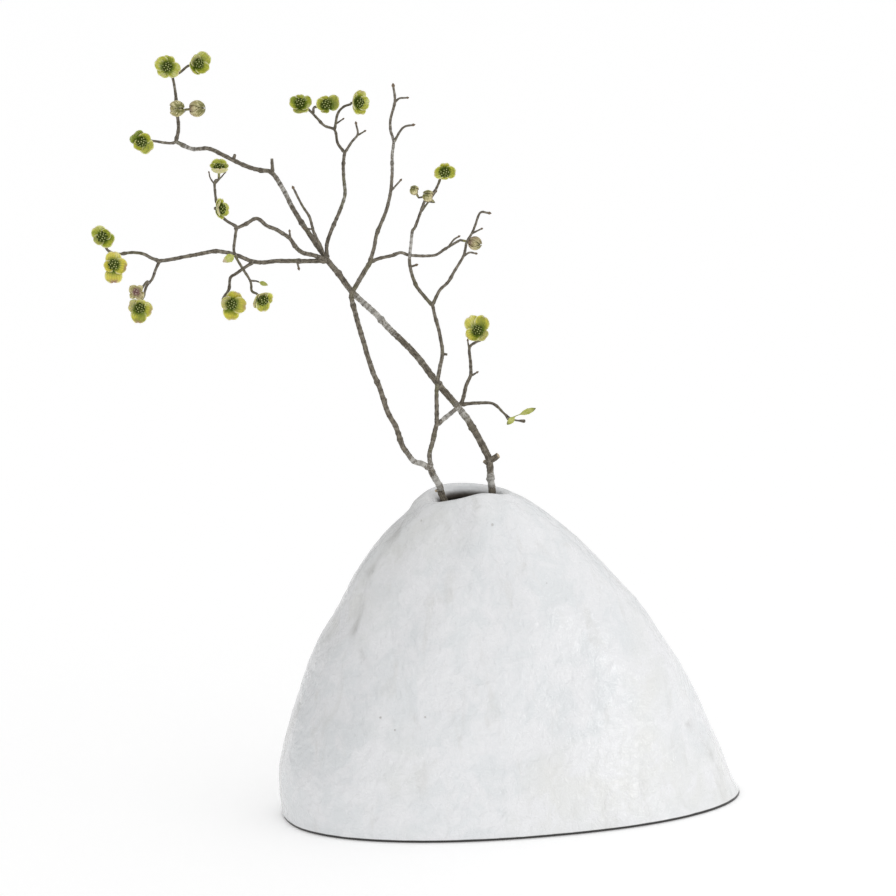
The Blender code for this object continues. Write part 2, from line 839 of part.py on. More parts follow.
def knuckle_places(length, rng):
    """Distances of the swollen growth rings along a twig."""
    places = [rng.uniform(*KNUCKLE_SPACING) / 2]
    while places[-1] < length - 2 * KNUCKLE_REACH:
        places.append(places[-1] + rng.uniform(*KNUCKLE_SPACING))
    return places[:-1]


def twig_stations(points, twig, rng):
    """Rings along a twig: its collar, then evenly, with three about each growth ring."""
    path = smooth_path(points, RING_SPACING / 4)
    length = sum((end - start).length for start, end in zip(path, path[1:]))
    if length < SPUR_LENGTH:
        return [(path[0], ROOT_SHARE * twig.thick), (path[-1], twig.thin)]
    knuckles = knuckle_places(length, rng)
    count = max(1, round(length / RING_SPACING))
    distances = [length * i / count for i in range(1, count)]
    for place in knuckles:
        distances = [d for d in distances if abs(d - place) > 2 * KNUCKLE_REACH]
        distances += [place - KNUCKLE_REACH, place, place + KNUCKLE_REACH]
    collar = COLLAR_PLACE * twig.thick + 1
    stations = [(path[0], ROOT_SHARE * twig.thick)]
    stations.append((along(path, collar), COLLAR_SWELL * twig.thick))
    for distance in sorted(distances):
        if collar + 2 < distance < length - 2:
            radius = twig.thick + (twig.thin - twig.thick) * distance / length
            if distance in knuckles:
                radius *= 1 + KNUCKLE_SWELL
            stations.append((along(path, distance), radius))
    stations.append((path[-1], twig.thin))
    return stations


def end_stations(stations, twig):
    """Closes a twig: a rounded knob, a pointed resting bud, a plain cut, or a carried stalk."""
    last = stations[-1][0]
    heading = (last - stations[-2][0]).normalized()
    thin = twig.thin
    if twig.end == "knob":
        return [(last + heading * thin * far, thin * wide) for far, wide in KNOB_RINGS]
    if twig.end == "tip":
        return [(last + heading * thin * far, thin * wide) for far, wide in TIP_RINGS]
    if twig.end == "cut":
        return []
    start, heading = stalk_start(twig.end)
    return [(start - heading * GAP, thin)]


def twig_sides(twig):
    return next(sides for thick, sides in TWIG_SIDES if twig.thick > thick)


def base_of(carried):
    """Where the bracts of a bloom or a bud leave their stalk, and the axes there."""
    place = seen(carried.place)
    axes = facing(place, carried.yaw, carried.pitch)
    if isinstance(carried, Bud):
        place -= axes @ Vector((0, 0, carried.middle))
    return place, axes


def stalk_start(name):
    """The free end of what a twig carries, and the direction in which it goes on."""
    if name in LEAVES:
        leaf = LEAVES[name][0]
        start = seen(leaf.start)
        return start, (seen(leaf.end) - start).normalized()
    base, axes = base_of(BLOOMS.get(name) or BUDS[name])
    heading = axes @ Vector((0, 0, 1))
    return base - heading * STALK_LENGTH, heading


def nearest_on(lines, point):
    """The point nearest to the given one on any of the centre lines."""
    found = lines[0][0]
    for line in lines:
        for start, end in zip(line, line[1:]):
            span = end - start
            share = (point - start).dot(span) / span.length_squared
            place = start.lerp(end, min(max(share, 0), 1))
            if (place - point).length < (found - point).length:
                found = place
    return found


def make_branch(name, twigs, material, seed):
    """Every twig after the first starts on the centre line of the twig nearest to it."""
    rng = random.Random(seed)
    pieces = []
    lines = []
    for twig in twigs.values():
        points = [Vector(place) for place in twig.inside]
        points += [seen(place) for place in twig.route]
        if twig.end not in ("knob", "tip", "cut"):
            start, heading = stalk_start(twig.end)
            points.append(start - heading * TWIG_APPROACH)
        if lines:
            points[0] = nearest_on(lines, points[0])
        stations = twig_stations(points, twig, rng)
        lines.append([centre for centre, _ in stations])
        stations += end_stations(stations, twig)
        pieces.append(tube(stations, twig_sides(twig)))
    fuse(name, pieces, material)


def blade(grid, thickness):
    """A closed thin solid about rows of (point, normal), with both faces split alike.

    The first row is a single point, and the others have one length.
    """
    bm = bmesh.new()
    half = thickness / 2
    top = [[bm.verts.new((p + n * half) * MM) for p, n in row] for row in grid]
    low = [[bm.verts.new((p - n * half) * MM) for p, n in row] for row in grid]
    rows = len(grid)
    columns = len(grid[1])
    for face, side in ((top, 1), (low, -1)):
        for j in range(columns - 1):
            bm.faces.new((face[0][0], face[1][j], face[1][j + 1])[::side])
            for i in range(1, rows - 1):
                a, b = face[i][j], face[i][j + 1]
                c, d = face[i + 1][j + 1], face[i + 1][j]
                if j < columns // 2:
                    corners = ((a, c, b), (a, d, c))
                else:
                    corners = ((a, d, b), (b, d, c))
                for corner in corners:
                    bm.faces.new(corner[::side])
    outline = [(0, 0)] + [(i, 0) for i in range(1, rows)]
    outline += [(rows - 1, j) for j in range(1, columns)]
    outline += [(i, columns - 1) for i in range(rows - 2, 0, -1)]
    for (i, j), (k, m) in zip(outline, outline[1:] + outline[:1]):
        bm.faces.new((low[i][j], low[k][m], top[k][m], top[i][j]))
    return bm


def cup_point(distance, bend, layer):
    """Radius, height and slope of a bract's surface at a distance from the middle."""
    curve = math.radians(bend) / 10
    angle = curve * distance
    radius = math.sin(angle) / curve
    height = (1 - math.cos(angle)) / curve
    return radius - math.sin(angle) * layer, height + math.cos(angle) * layer, angle


def bract(axes, centre, direction, length, width, bend, layer, rows, notch):
    """One cupped bract with a notched tip, lying on the bloom's cup."""
    grid = []
    for share, half_width, curl in rows:
        row = []
        for v in (-1, -0.5, 0, 0.5, 1) if share else (0,):
            reach = BRACT_ROOT + length * share
            if share == 1:
                reach -= notch * length * (1 if v == 0 else TIP_CORNERS * (abs(v) == 1))
            lift = math.copysign(BRACT_CURL * curl * v * v, layer)
            radius, height, angle = cup_point(reach, bend, layer + lift)
            turn = math.radians(direction) + v * half_width * width / radius
            out = Vector((math.cos(turn), math.sin(turn), 0))
            point = out * radius + Vector((0, 0, height))
            normal = Vector((0, 0, math.cos(angle))) - out * math.sin(angle)
            row.append((centre + axes @ point, axes @ normal))
        grid.append(row)
    return blade(grid, BRACT_THICKNESS)


def stalk(axes, centre):
    """The stalk and the small seat that the bracts and the head grow from."""
    up = axes @ Vector((0, 0, 1))
    profile = ((-STALK_LENGTH, STALK_RADIUS), NECK, (SEAT_TOP, SEAT_RADIUS))
    return tube([(centre + up * height, radius) for height, radius in profile], STALK_SIDES)


def head_point(share, turn, radius, raised):
    """A point of the head's dome, from its top (share 0) to its widest place (share 1)."""
    polar = math.radians(DOME_END) * share
    rise = radius + (FLORET_RISE if raised else FLORET_DIP)
    flat = rise * math.sin(polar)
    height = SEAT_TOP + GAP + radius * DOME_LIFT + rise * DOME_HEIGHT * math.cos(polar)
    return Vector((flat * math.cos(turn), flat * math.sin(turn), height))


def make_head(name, axes, centre, radius, rings, material):
    """A ball of tiny closed flowers: a dome of triangles with every third point raised."""
    bm = bmesh.new()
    verts = {}
    for a in range(-rings, rings + 1):
        for b in range(-rings, rings + 1):
            ring = max(abs(a), abs(b), abs(a + b))
            if ring > rings:
                continue
            turn = math.atan2(b * math.sqrt(3) / 2, a + b / 2)
            point = head_point(ring / rings, turn, radius, (a - b) % 3 == 0)
            verts[a, b] = bm.verts.new((centre + axes @ point) * MM)
    for (a, b), vert in verts.items():
        for c, d in (((a + 1, b), (a, b + 1)), ((a, b + 1), (a - 1, b + 1))):
            if c in verts and d in verts:
                bm.faces.new((vert, verts[c], verts[d]))
    rim = []
    a, b = 0, -rings
    for step_a, step_b in ((1, 0), (0, 1), (-1, 1), (-1, 0), (0, -1), (1, -1)):
        for _ in range(rings):
            rim.append(verts[a, b])
            a += step_a
            b += step_b
    # The head narrows to a small six-sided base on the bloom's seat
    foot = min(HEAD_FOOT, HEAD_FOOT_SHARE * radius)
    base = []
    for i in range(6):
        turn = math.radians(60 * i - 60)
        point = Vector((foot * math.cos(turn), foot * math.sin(turn), SEAT_TOP + GAP))
        base.append(bm.verts.new((centre + axes @ point) * MM))
    for i in range(6):
        corner = base[i]
        following = base[(i + 1) % 6]
        half = rings // 2
        for step in range(rings):
            low = rim[i * rings + step]
            high = rim[(i * rings + step + 1) % len(rim)]
            bm.faces.new((low, high, corner if step < half else following))
        bm.faces.new((rim[i * rings + half], following, corner))
    bm.faces.new(base)
    finish_object(name, bm, material)


def make_bloom(name, bloom, bract_material, head_material):
    centre, axes = base_of(bloom)
    pieces = [stalk(axes, centre)]
    for i, (direction, length) in enumerate(bloom.bracts):
        layer = BRACT_LAYER if i % 2 else -BRACT_LAYER
        width = min(BRACT_WIDTH, BRACT_STOUTNESS * length)
        shape = (direction, length, width, bloom.cup, layer, BRACT_ROWS, BRACT_NOTCH)
        pieces.append(bract(axes, centre, *shape))
    fuse(name + "_bracts", pieces, bract_material)
    make_head(name + "_head", axes, centre, HEAD_RADIUS, HEAD_RINGS, head_material)


def make_bud(name, bud, scale_material, head_material):
    centre, axes = base_of(bud)
    pieces = [stalk(axes, centre)]
    for i, (direction, wider) in enumerate(BUD_SCALES):
        layer = BRACT_LAYER if i % 2 else -BRACT_LAYER
        width = bud.width * wider
        shape = (direction + bud.turn, bud.length, width, bud.bend, layer, SCALE_ROWS, 0)
        pieces.append(bract(axes, centre, *shape))
    fuse(name + "_scales", pieces, scale_material)
    make_head(name + "_head", axes, centre, bud.core, BUD_HEAD_RINGS, head_material)


def leaf_grid(leaf):
    """A pointed young blade, folded a little along its middle and arched."""
    start = seen(leaf.start)
    end = seen(leaf.end)
    heading = end - start
    length = heading.length
    heading.normalize()
    front = toward_eye(start)
    across = heading.cross(front).normalized()
    normal = across.cross(heading)
    grid = [[(start, normal)]]
    for share, half_share in LEAF_ROWS:
        open_share = leaf.stalk + (1 - leaf.stalk) * share
        half = leaf.width * half_share + LEAF_EDGE
        lift = leaf.arch * math.sin(math.pi * open_share)
        row = []
        for v in (-1, 0, 1):
            point = start + heading * length * open_share + across * v * half
            point += normal * (lift + LEAF_FOLD * half * v * v)
            row.append((point, normal))
        grid.append(row)
    return grid


def make_leaf(name, leaves, material):
    pieces = [blade(leaf_grid(leaf), LEAF_THICKNESS) for leaf in leaves]
    fuse(name, pieces, material)


def main():
    clear_scene()
    glaze = make_material("white_glaze", (0.86, 0.88, 0.88), 0.18)
    bark = make_material("grey_bark", (0.12, 0.1, 0.08), 0.8)
    bract_green = make_material("bract_green", (0.42, 0.5, 0.08), 0.6)
    hearts = {
        "head_green": make_material("head_green", (0.06, 0.12, 0.02), 0.6),
        "head_purple": make_material("head_purple", (0.16, 0.06, 0.07), 0.6),
    }
    scale_tan = make_material("bud_scale_tan", (0.38, 0.32, 0.16), 0.65)
    leaf_green = make_material("young_leaf_green", (0.4, 0.46, 0.1), 0.55)
    make_vase(glaze)
    make_branch("branch_right", RIGHT_TWIGS, bark, 3)
    make_branch("branch_left", LEFT_TWIGS, bark, 8)
    for name, bloom in BLOOMS.items():
        make_bloom(name, bloom, bract_green, hearts["head_green"])
    for name, bud in BUDS.items():
        make_bud(name, bud, scale_tan, hearts[bud.heart])
    for name, leaves in LEAVES.items():
        make_leaf(name, leaves, leaf_green)


main()
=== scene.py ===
import math
import random

import bmesh
import bpy
from mathutils import Matrix, Vector, noise


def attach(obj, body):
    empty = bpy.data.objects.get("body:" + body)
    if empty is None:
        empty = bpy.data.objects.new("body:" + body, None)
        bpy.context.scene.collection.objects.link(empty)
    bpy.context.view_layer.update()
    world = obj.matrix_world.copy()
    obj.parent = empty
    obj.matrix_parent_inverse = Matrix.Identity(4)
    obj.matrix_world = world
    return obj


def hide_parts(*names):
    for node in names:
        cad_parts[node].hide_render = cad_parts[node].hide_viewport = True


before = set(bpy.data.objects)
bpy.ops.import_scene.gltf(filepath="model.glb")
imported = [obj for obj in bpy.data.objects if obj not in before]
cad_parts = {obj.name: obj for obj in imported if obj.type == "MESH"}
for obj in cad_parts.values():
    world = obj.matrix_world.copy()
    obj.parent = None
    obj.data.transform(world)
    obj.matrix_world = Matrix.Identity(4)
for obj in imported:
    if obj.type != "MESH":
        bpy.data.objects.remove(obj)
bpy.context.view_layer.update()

noise.seed_set(4)  # without this the noise vectors change from run to run

# Lengths are in millimetres and angles in degrees, turned into metres where meshes are made
mm = 0.001
up = Vector((0, 0, 1))

studio = {
    "eye": (-45, -2517, 729),
    "down": 10.5,  # how far the camera looks down
    "lens": 145.1,
    "sensor": 36,
    "floorSize": 60000,
    "floor": (0.88, 0.88, 0.88),
    "fleck": (0.8536, 0.8536, 0.8536),  # the floor's faint grain
    "floorGlow": 0.3,
    # brightness of the room from its dim left end to its bright right end, and what is added
    # from above and from the front
    "roomLeft": 0.27,
    "roomRight": 0.71,
    "roomAbove": 0.42,
    "roomFront": 0.12,
    "keyPlace": (1900, -1100, 150),
    "keyAim": (0, 0, 150),
    "keySize": 560,
    "keyPower": 4,
}
eye = Vector(studio["eye"])


# Nodes

def feed(socket, value):
    if isinstance(value, Value):
        socket.id_data.links.new(value.socket, socket)
    else:
        socket.default_value = value


def addNode(tree, kind, inputs, output=0, **settings):
    made = tree.nodes.new("ShaderNode" + kind)
    for key, value in settings.items():
        setattr(made, key, value)
    for key, value in inputs.items():
        feed(made.inputs[key], value)
    return Value(made.outputs[output])


class Value:
    # what comes out of a node, to reckon with

    def __init__(self, socket):
        self.socket = socket

    def into(self, kind, inputs, output=0, **settings):
        return addNode(self.socket.id_data, kind, {0: self, **inputs}, output, **settings)

    def calc(self, operation, other=0.0):
        return self.into("Math", {1: other}, operation=operation)

    def __add__(self, other):
        return self.calc("ADD", other)

    def __sub__(self, other):
        return self.calc("SUBTRACT", other)

    def __mul__(self, other):
        return self.calc("MULTIPLY", other)

    def __abs__(self):
        return self.calc("ABSOLUTE")

    def atLeast(self, other):
        return self.calc("MAXIMUM", other)

    def between(self, low, high, toLow=0.0, toHigh=1.0):
        inputs = {1: low, 2: high, 3: toLow, 4: toHigh}
        return self.into("MapRange", inputs, interpolation_type="SMOOTHSTEP")

    def part(self, axis):
        return self.into("SeparateXYZ", {}, axis)

    def stretched(self, *amounts):
        return self.into("VectorMath", {1: amounts}, operation="MULTIPLY")

    def cloud(self, scale, detail=3.0, rough=0.5, warp=0.0):
        inputs = {"Scale": scale, "Detail": detail, "Roughness": rough, "Distortion": warp}
        return self.into("TexNoise", inputs)

    def relief(self, distance, under=None):
        inputs = {"Height": self, "Distance": distance, "Strength": 1.0}
        if under:
            inputs["Normal"] = under
        return addNode(self.socket.id_data, "Bump", inputs)


class Look:
    # a material whose colours are laid over one another

    def __init__(self, name, colours, ground):
        self.material = bpy.data.materials.new(name)
        self.material.use_nodes = True
        self.tree = self.material.node_tree
        self.inputs = self.tree.nodes["Principled BSDF"].inputs
        self.colours = colours
        self.colour = (*colours[ground], 1)

    def place(self):
        return addNode(self.tree, "TexCoord", {}, "Object")

    def painted(self, name, output="Fac"):
        # what the mesh stores under this name
        return addNode(self.tree, "Attribute", {}, output, attribute_name=name)

    def cover(self, share, name):
        inputs = {6: self.colour, 7: (*self.colours[name], 1)}
        self.colour = share.into("Mix", inputs, 2, data_type="RGBA")

    def finish(self, roughness, normal=None):
        feed(self.inputs["Base Color"], self.colour)
        feed(self.inputs["Roughness"], roughness)
        if normal:
            feed(self.inputs["Normal"], normal)
        return self.material


# Meshes

class Skin:
    # the points, faces and painted values of one piece

    def __init__(self):
        self.points = []
        self.faces = []
        self.paint = {}

    def dot(self, point, **values):
        self.points.append(point)
        for key, value in values.items():
            self.paint.setdefault(key, []).append(value)
        return len(self.points) - 1

    def fan(self, ring, middle):
        for i, corner in enumerate(ring):
            self.faces.append((corner, ring[(i + 1) % len(ring)], middle))

    def tube(self, rings, first, last):
        # bands from ring to ring, with a fan to a middle point over each end
        for lower, upper in zip(rings, rings[1:]):
            for i in range(len(lower)):
                j = (i + 1) % len(lower)
                self.faces.append((lower[i], lower[j], upper[j], upper[i]))
        self.fan(rings[0], first)
        self.fan(rings[-1], last)

    def blade(self, top, low):
        # two sheets of points, joined round their rim
        rows, columns = len(top) - 1, len(top[0]) - 1
        for sheet in (top, low):
            for a, b in zip(sheet, sheet[1:]):
                for j in range(columns):
                    self.faces.append((a[j], a[j + 1], b[j + 1], b[j]))
        rim = [(i, 0) for i in range(rows + 1)] + [(rows, j) for j in range(1, columns + 1)]
        rim += [(i, columns) for i in range(rows - 1, -1, -1)]
        rim += [(0, j) for j in range(columns - 1, 0, -1)]
        for (i, j), (k, m) in zip(rim, rim[1:] + rim[:1]):
            self.faces.append((low[i][j], low[k][m], top[k][m], top[i][j]))

    def make(self, name, material, slot, node):
        mesh = bpy.data.meshes.new(name)
        mesh.from_pydata([p * mm for p in self.points], [], self.faces)
        for key, values in self.paint.items():
            if isinstance(values[0], Vector):
                layer = mesh.attributes.new(key, "FLOAT_VECTOR", "POINT")
                layer.data.foreach_set("vector", [part for value in values for part in value])
            else:
                layer = mesh.attributes.new(key, "FLOAT", "POINT")
                layer.data.foreach_set("value", values)
        bm = bmesh.new()
        bm.from_mesh(mesh)
        bmesh.ops.recalc_face_normals(bm, faces=bm.faces)
        bm.to_mesh(mesh)
        bm.free()
        mesh.shade_smooth()
        mesh.materials.append(material)
        piece = bpy.data.objects.new(name, mesh)
        bpy.context.scene.collection.objects.link(piece)
        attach(piece, "root")
        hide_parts(node)


def around(count):
    # the turns of a ring, and the way out at each
    for i in range(count):
        turn = 2 * math.pi * i / count
        yield turn, Vector((math.cos(turn), math.sin(turn), 0))


def curveThrough(values, counts):
    # smooth rows of numbers through the given rows
    padded = [[2 * a - b for a, b in zip(values[0], values[1])], *values]
    padded.append([2 * a - b for a, b in zip(values[-1], values[-2])])
    rows = []
    for i, count in enumerate(counts):
        for step in range(count):
            t = step / count
            row = []
            for a, b, c, d in zip(*padded[i:i + 4]):
                bend = (2 * a - 5 * b + 4 * c - d) * t * t + (3 * b - a - 3 * c + d) * t ** 3
                row.append(0.5 * (2 * b + (c - a) * t + bend))
            rows.append(row)
    rows.append(list(values[-1]))
    return rows


def hump(distance, reach):
    return math.exp(-((distance / reach) ** 2))


def share01(value, low, high):
    return float(min(1, max(0, (value - low) / (high - low))))


# Where things stand as the camera sees them

def towardEye(point):
    return (eye - point).normalized()


def seen(place):
    # a place is across, up and toward: a point of the upright plane, drawn toward the eye
    across, high, toward = place
    onPlane = Vector((across, 0, high))
    return onPlane + towardEye(onPlane) * toward


def facing(point, yaw, pitch):
    front = towardEye(point)
    right = up.cross(front).normalized()
    axes = Matrix((right, front.cross(right), front)).transposed()
    yaw = Matrix.Rotation(math.radians(yaw), 3, "Y")
    return axes @ (yaw @ Matrix.Rotation(math.radians(-pitch), 3, "X"))


# Studio

def setStudio():
    scene = bpy.context.scene
    scene.view_settings.view_transform = "Standard"
    camera = bpy.data.cameras.new("camera")
    camera.sensor_width = studio["sensor"]
    camera.lens = studio["lens"]
    stand = bpy.data.objects.new("camera", camera)
    stand.location = eye * mm
    stand.rotation_euler = (math.radians(90 - studio["down"]), 0, 0)
    scene.collection.objects.link(stand)
    scene.camera = stand

    # The room is brighter on the right, as the glaze shows
    room = bpy.data.worlds.new("room")
    room.use_nodes = True
    direction = addNode(room.node_tree, "TexCoord", {}, "Generated")
    bright = direction.part(0).between(-1.0, 0.9, studio["roomLeft"], studio["roomRight"])
    bright += direction.part(2).atLeast(0.0) * studio["roomAbove"]
    bright += (direction.part(1) * -studio["roomFront"]).atLeast(0.0)
    background = room.node_tree.nodes["Background"].inputs
    background["Color"].default_value = (1, 1, 1, 1)
    feed(background["Strength"], bright)
    scene.world = room

    key = bpy.data.lights.new("softKey", "AREA")
    key.shape = "DISK"
    key.size = studio["keySize"] * mm
    key.energy = studio["keyPower"]
    lamp = bpy.data.objects.new("softKey", key)
    lamp.location = Vector(studio["keyPlace"]) * mm
    aim = Vector(studio["keyAim"]) * mm - lamp.location
    lamp.rotation_euler = aim.to_track_quat("-Z", "Y").to_euler()
    scene.collection.objects.link(lamp)

    paper = Look("paleFloor", studio, "floor")
    paper.cover(paper.place().cloud(900), "fleck")
    paper.inputs["Specular IOR Level"].default_value = 0.1
    paper.inputs["Emission Color"].default_value = (1, 1, 1, 1)
    paper.inputs["Emission Strength"].default_value = studio["floorGlow"]
    half = studio["floorSize"] / 2 * mm
    mesh = bpy.data.meshes.new("floor")
    corners = ((-half, -half, 0), (half, -half, 0), (half, half, 0), (-half, half, 0))
    mesh.from_pydata(corners, [], [(0, 1, 2, 3)])
    mesh.materials.append(paper.finish(0.9))
    floor = bpy.data.objects.new("floor", mesh)
    scene.collection.objects.link(floor)


setStudio()
print("studio: camera, room, key light and floor")


# Vase

vase = {
    # height, half width, half depth, middle across and away, and turn
    "sections": (
        (0, 170.6, 92, 2.9, 8, 17),
        (16, 168, 93, -2.5, 8, 17),
        (43, 162.3, 91, -7.8, 7, 16),
        (69, 151.7, 88, -10.7, 6, 15),
        (96, 139.7, 84, -11.9, 5, 13),
        (122, 126.3, 78, -14.3, 3, 11),
        (149, 109.7, 71, -15.7, 1, 9),
        (175, 91.2, 61, -20.7, -2, 7),
        (201, 67.9, 48, -23.9, -4, 4),
        (219, 48.1, 36, -25.8, -6, 2),
        (231, 36, 27, -31, -6, 0),
    ),
    "top": 233,
    "sides": 300,
    "step": 1.9,  # between rings
    "insideStep": 3,  # times the step, deep inside
    "inset": 0.7,  # how far this skin lies inside the outline above
    "footRounding": 2.2,
    "floor": 9,
    "floorInset": 11,
    "wall": 7,
    "lipRadius": 6,
    "crest": (29, 22),  # half width and half depth of the mouth along its lip
    "squareness": (2.2, 2.0),  # at the foot and at the mouth; 2 is an ellipse
    "outerHeights": (16, 36, 60, 84, 108, 132, 155, 176, 195, 210, 220, 227),
    "lipAngles": (62, 90, 120, 150, 195),
    "innerHeights": (214, 196, 172, 142, 104, 60, 26, 13),
    "lipBegins": 196,
    "lipDip": (4.5, 200, 42),  # depth, direction and reach
    "lipRise": (3.2, 292, 28),
    "lipWave": 0.8,
    "lipTilt": 1.2,
    "smoothHeight": 60,
    "lump": 0.8,
    "lumpWaves": ((3, 5, 1, 0.6), (5, -7, 0.8, 2.1), (8, 11, 0.6, 4.0), (11, -15, 0.5, 1.3)),
    # pressed hollows, soft ridges and finer ripples: size across and height of each
    "pressed": (30, 0.45),
    "ridged": (15, 0.36),
    "ridgeBend": (22, 0.9),
    "rippled": (6, 0.2),
    "sunk": 0.2,
    "calmLip": (0.25, 60),  # share of the pressing that is left at the lip, and how far down
    # creases that the potter left in the front, with painted shade along them: the line of each
    # across and up
    "creases": (
        (
            (-70, 220), (-80, 209), (-88, 199), (-96, 188), (-102, 178), (-105, 165),
            (-108, 153), (-112, 140), (-109, 131), (-102, 121),
        ),
        ((128, 64), (141, 46), (149, 32), (157, 17)),
    ),
    "creaseWidth": 2.6,
    "creaseDepth": 0.8,
    "creaseBreaks": (11, 0.6),  # size and strength of the places where a crease fades
}
deepInside = 1.5  # what the skin stores there; the lip runs from 0 outside to 1


def vaseSection(height):
    sections = vase["sections"]
    height = min(height, sections[-1][0])
    last = len(sections) - 1
    low = max(i for i in range(last) if sections[i][0] <= height or i == 0)
    before, start = sections[max(low - 1, 0)], sections[low]
    end, after = sections[low + 1], sections[min(low + 2, last)]
    span = end[0] - start[0]
    t = (height - start[0]) / span
    values = []
    for a, b, c, d in zip(before, start, end, after):
        leave = (c - a) / (end[0] - before[0]) * span
        arrive = (d - b) / (after[0] - start[0]) * span
        ends = b * (2 * t ** 3 - 3 * t ** 2 + 1) + c * (3 * t ** 2 - 2 * t ** 3)
        values.append(ends + leave * (t ** 3 - 2 * t ** 2 + t) + arrive * (t ** 3 - t ** 2))
    return values


def vaseProfile():
    # height, half width, half depth, how lumpy and how far inside, from the foot to the floor
    rounding, radius, inset = vase["footRounding"], vase["lipRadius"], vase["inset"]
    width, depth = (half - inset for half in vase["sections"][0][1:3])
    low = rounding * 0.3
    rows = [
        (0, width - rounding, depth - rounding, 0, 0),
        (low, width - low, depth - low, 0, 0),
        (rounding, width, depth, 0.2, 0),
    ]
    for height in vase["outerHeights"]:
        width, depth = (half - inset for half in vaseSection(height)[1:3])
        rows.append((height, width, depth, min(1, height / vase["smoothHeight"]), 0))
    width, depth = vase["crest"]
    first, last = 90, vase["lipAngles"][-1]
    for angle in vase["lipAngles"]:
        out = radius * math.cos(math.radians(angle))
        rise = radius * math.sin(math.radians(angle)) - inset
        inside = max(0, (angle - first) / (last - first))
        rows.append((vase["top"] - radius + rise, width + out, depth + out, 0, inside))
    for height in vase["innerHeights"]:
        width, depth = vaseSection(height)[1:3]
        thick = vase["wall"] * math.hypot(1, vaseSection(height + 1)[1] - width)
        rows.append((height, width - thick, depth - thick, 0, deepInside))
    width, depth = (half - vase["floorInset"] for half in vaseSection(vase["floor"])[1:3])
    rows.append((vase["floor"], width, depth, 0, deepInside))
    return rows


def vaseLumps(angle, height):
    angle, rise = math.radians(angle), height / vase["top"]
    waves = (size * math.sin(a * angle + b * rise + c) for a, b, size, c in vase["lumpWaves"])
    return vase["lump"] * sum(waves)


def lipDrop(angle, height):
    begins = vase["lipBegins"]
    share = max(0, (height - begins) / (vase["top"] - begins)) ** 2
    drop = vase["lipWave"] * math.sin(math.radians(2 * angle + 40))
    drop -= vase["lipTilt"] * math.sin(math.radians(angle))
    for key, sign in (("lipDip", 1), ("lipRise", -1)):
        size, direction, reach = vase[key]
        drop += sign * size * hump((angle - direction + 180) % 360 - 180, reach)
    return share * drop


def handPressed(point):
    # the potter's pressing and the brushed-on glaze
    size, height = vase["pressed"]
    swell = height * (noise.noise(point / size) - 0.25 * abs(noise.noise(point / size * 2.1)))
    size, height = vase["ridged"]
    bendSize, strength = vase["ridgeBend"]
    warped = point / size + noise.noise_vector(point / bendSize) * strength
    swell += height * ((1 - abs(noise.noise(warped))) ** 4 - 0.35)
    size, height = vase["rippled"]
    swell += height * noise.fractal(point / size, 0.8, 2.0, 3)
    return swell - vase["sunk"]


def creased(point):
    # how far a point of the front lies in a crease
    spot = Vector((point.x, point.z))
    deepest = 0
    for line in vase["creases"]:
        for start, end in zip(line, line[1:]):
            start, span = Vector(start), Vector(end) - Vector(start)
            share = min(max((spot - start).dot(span) / span.length_squared, 0), 1)
            deepest = max(deepest, hump((spot - start - span * share).length, vase["creaseWidth"]))
    size, strength = vase["creaseBreaks"]
    return deepest * (0.8 + strength * noise.noise(point / size))


def makeVase(material):
    rows = vaseProfile()
    counts = []
    for a, b in zip(rows, rows[1:]):
        step = vase["step"] * (vase["insideStep"] if a[4] >= deepInside else 1)
        counts.append(max(2, round(math.hypot(b[0] - a[0], b[1] - a[1]) / step)))
    skin = Skin()
    rings = []
    for height, width, depth, lumpy, inside in curveThrough(rows, counts):
        section = vaseSection(height)
        foot, mouth = vase["squareness"]
        power = 2 / (foot + (mouth - foot) * height / vase["top"])
        turned = Matrix.Rotation(math.radians(section[5]), 3, "Z")
        middle = Vector((section[3], section[4], 0))
        outside = max(0, 1 - inside) * min(1, height / 5)
        left, reach = vase["calmLip"]
        calm = left + (1 - left) * min(1, (vase["top"] - height) / reach)
        ring = []
        for i in range(vase["sides"]):
            angle = 360 * i / vase["sides"]
            out = (math.cos(math.radians(angle)), math.sin(math.radians(angle)), 0)
            edge = Vector([math.copysign(abs(part) ** power, part) for part in out])
            swell = lumpy * vaseLumps(angle, height)
            if outside > 0:
                spot = Vector((edge.x * width, edge.y * depth, height))
                swell += outside * calm * handPressed(spot)
            point = Vector((edge.x * (width + swell), edge.y * (depth + swell), 0))
            point = turned @ point + middle
            point.z = max(0, height - lipDrop(angle, height))
            # the crease sinks the skin, and its depth is kept for the painted shade along it
            crease = creased(point) if outside > 0 and point.y < section[4] else 0.0
            point -= turned @ Vector(out) * crease * vase["creaseDepth"]
            ring.append(skin.dot(point, inside=inside, crease=crease))
        rings.append(ring)
    ends = []
    for height in (0, vase["floor"]):
        middle = Vector((*vaseSection(height)[3:5], height))
        ends.append(skin.dot(middle, inside=deepInside, crease=0.0))
    skin.tube(rings, *ends)
    skin.make("glazedVase", material, "white_glaze", "vase")


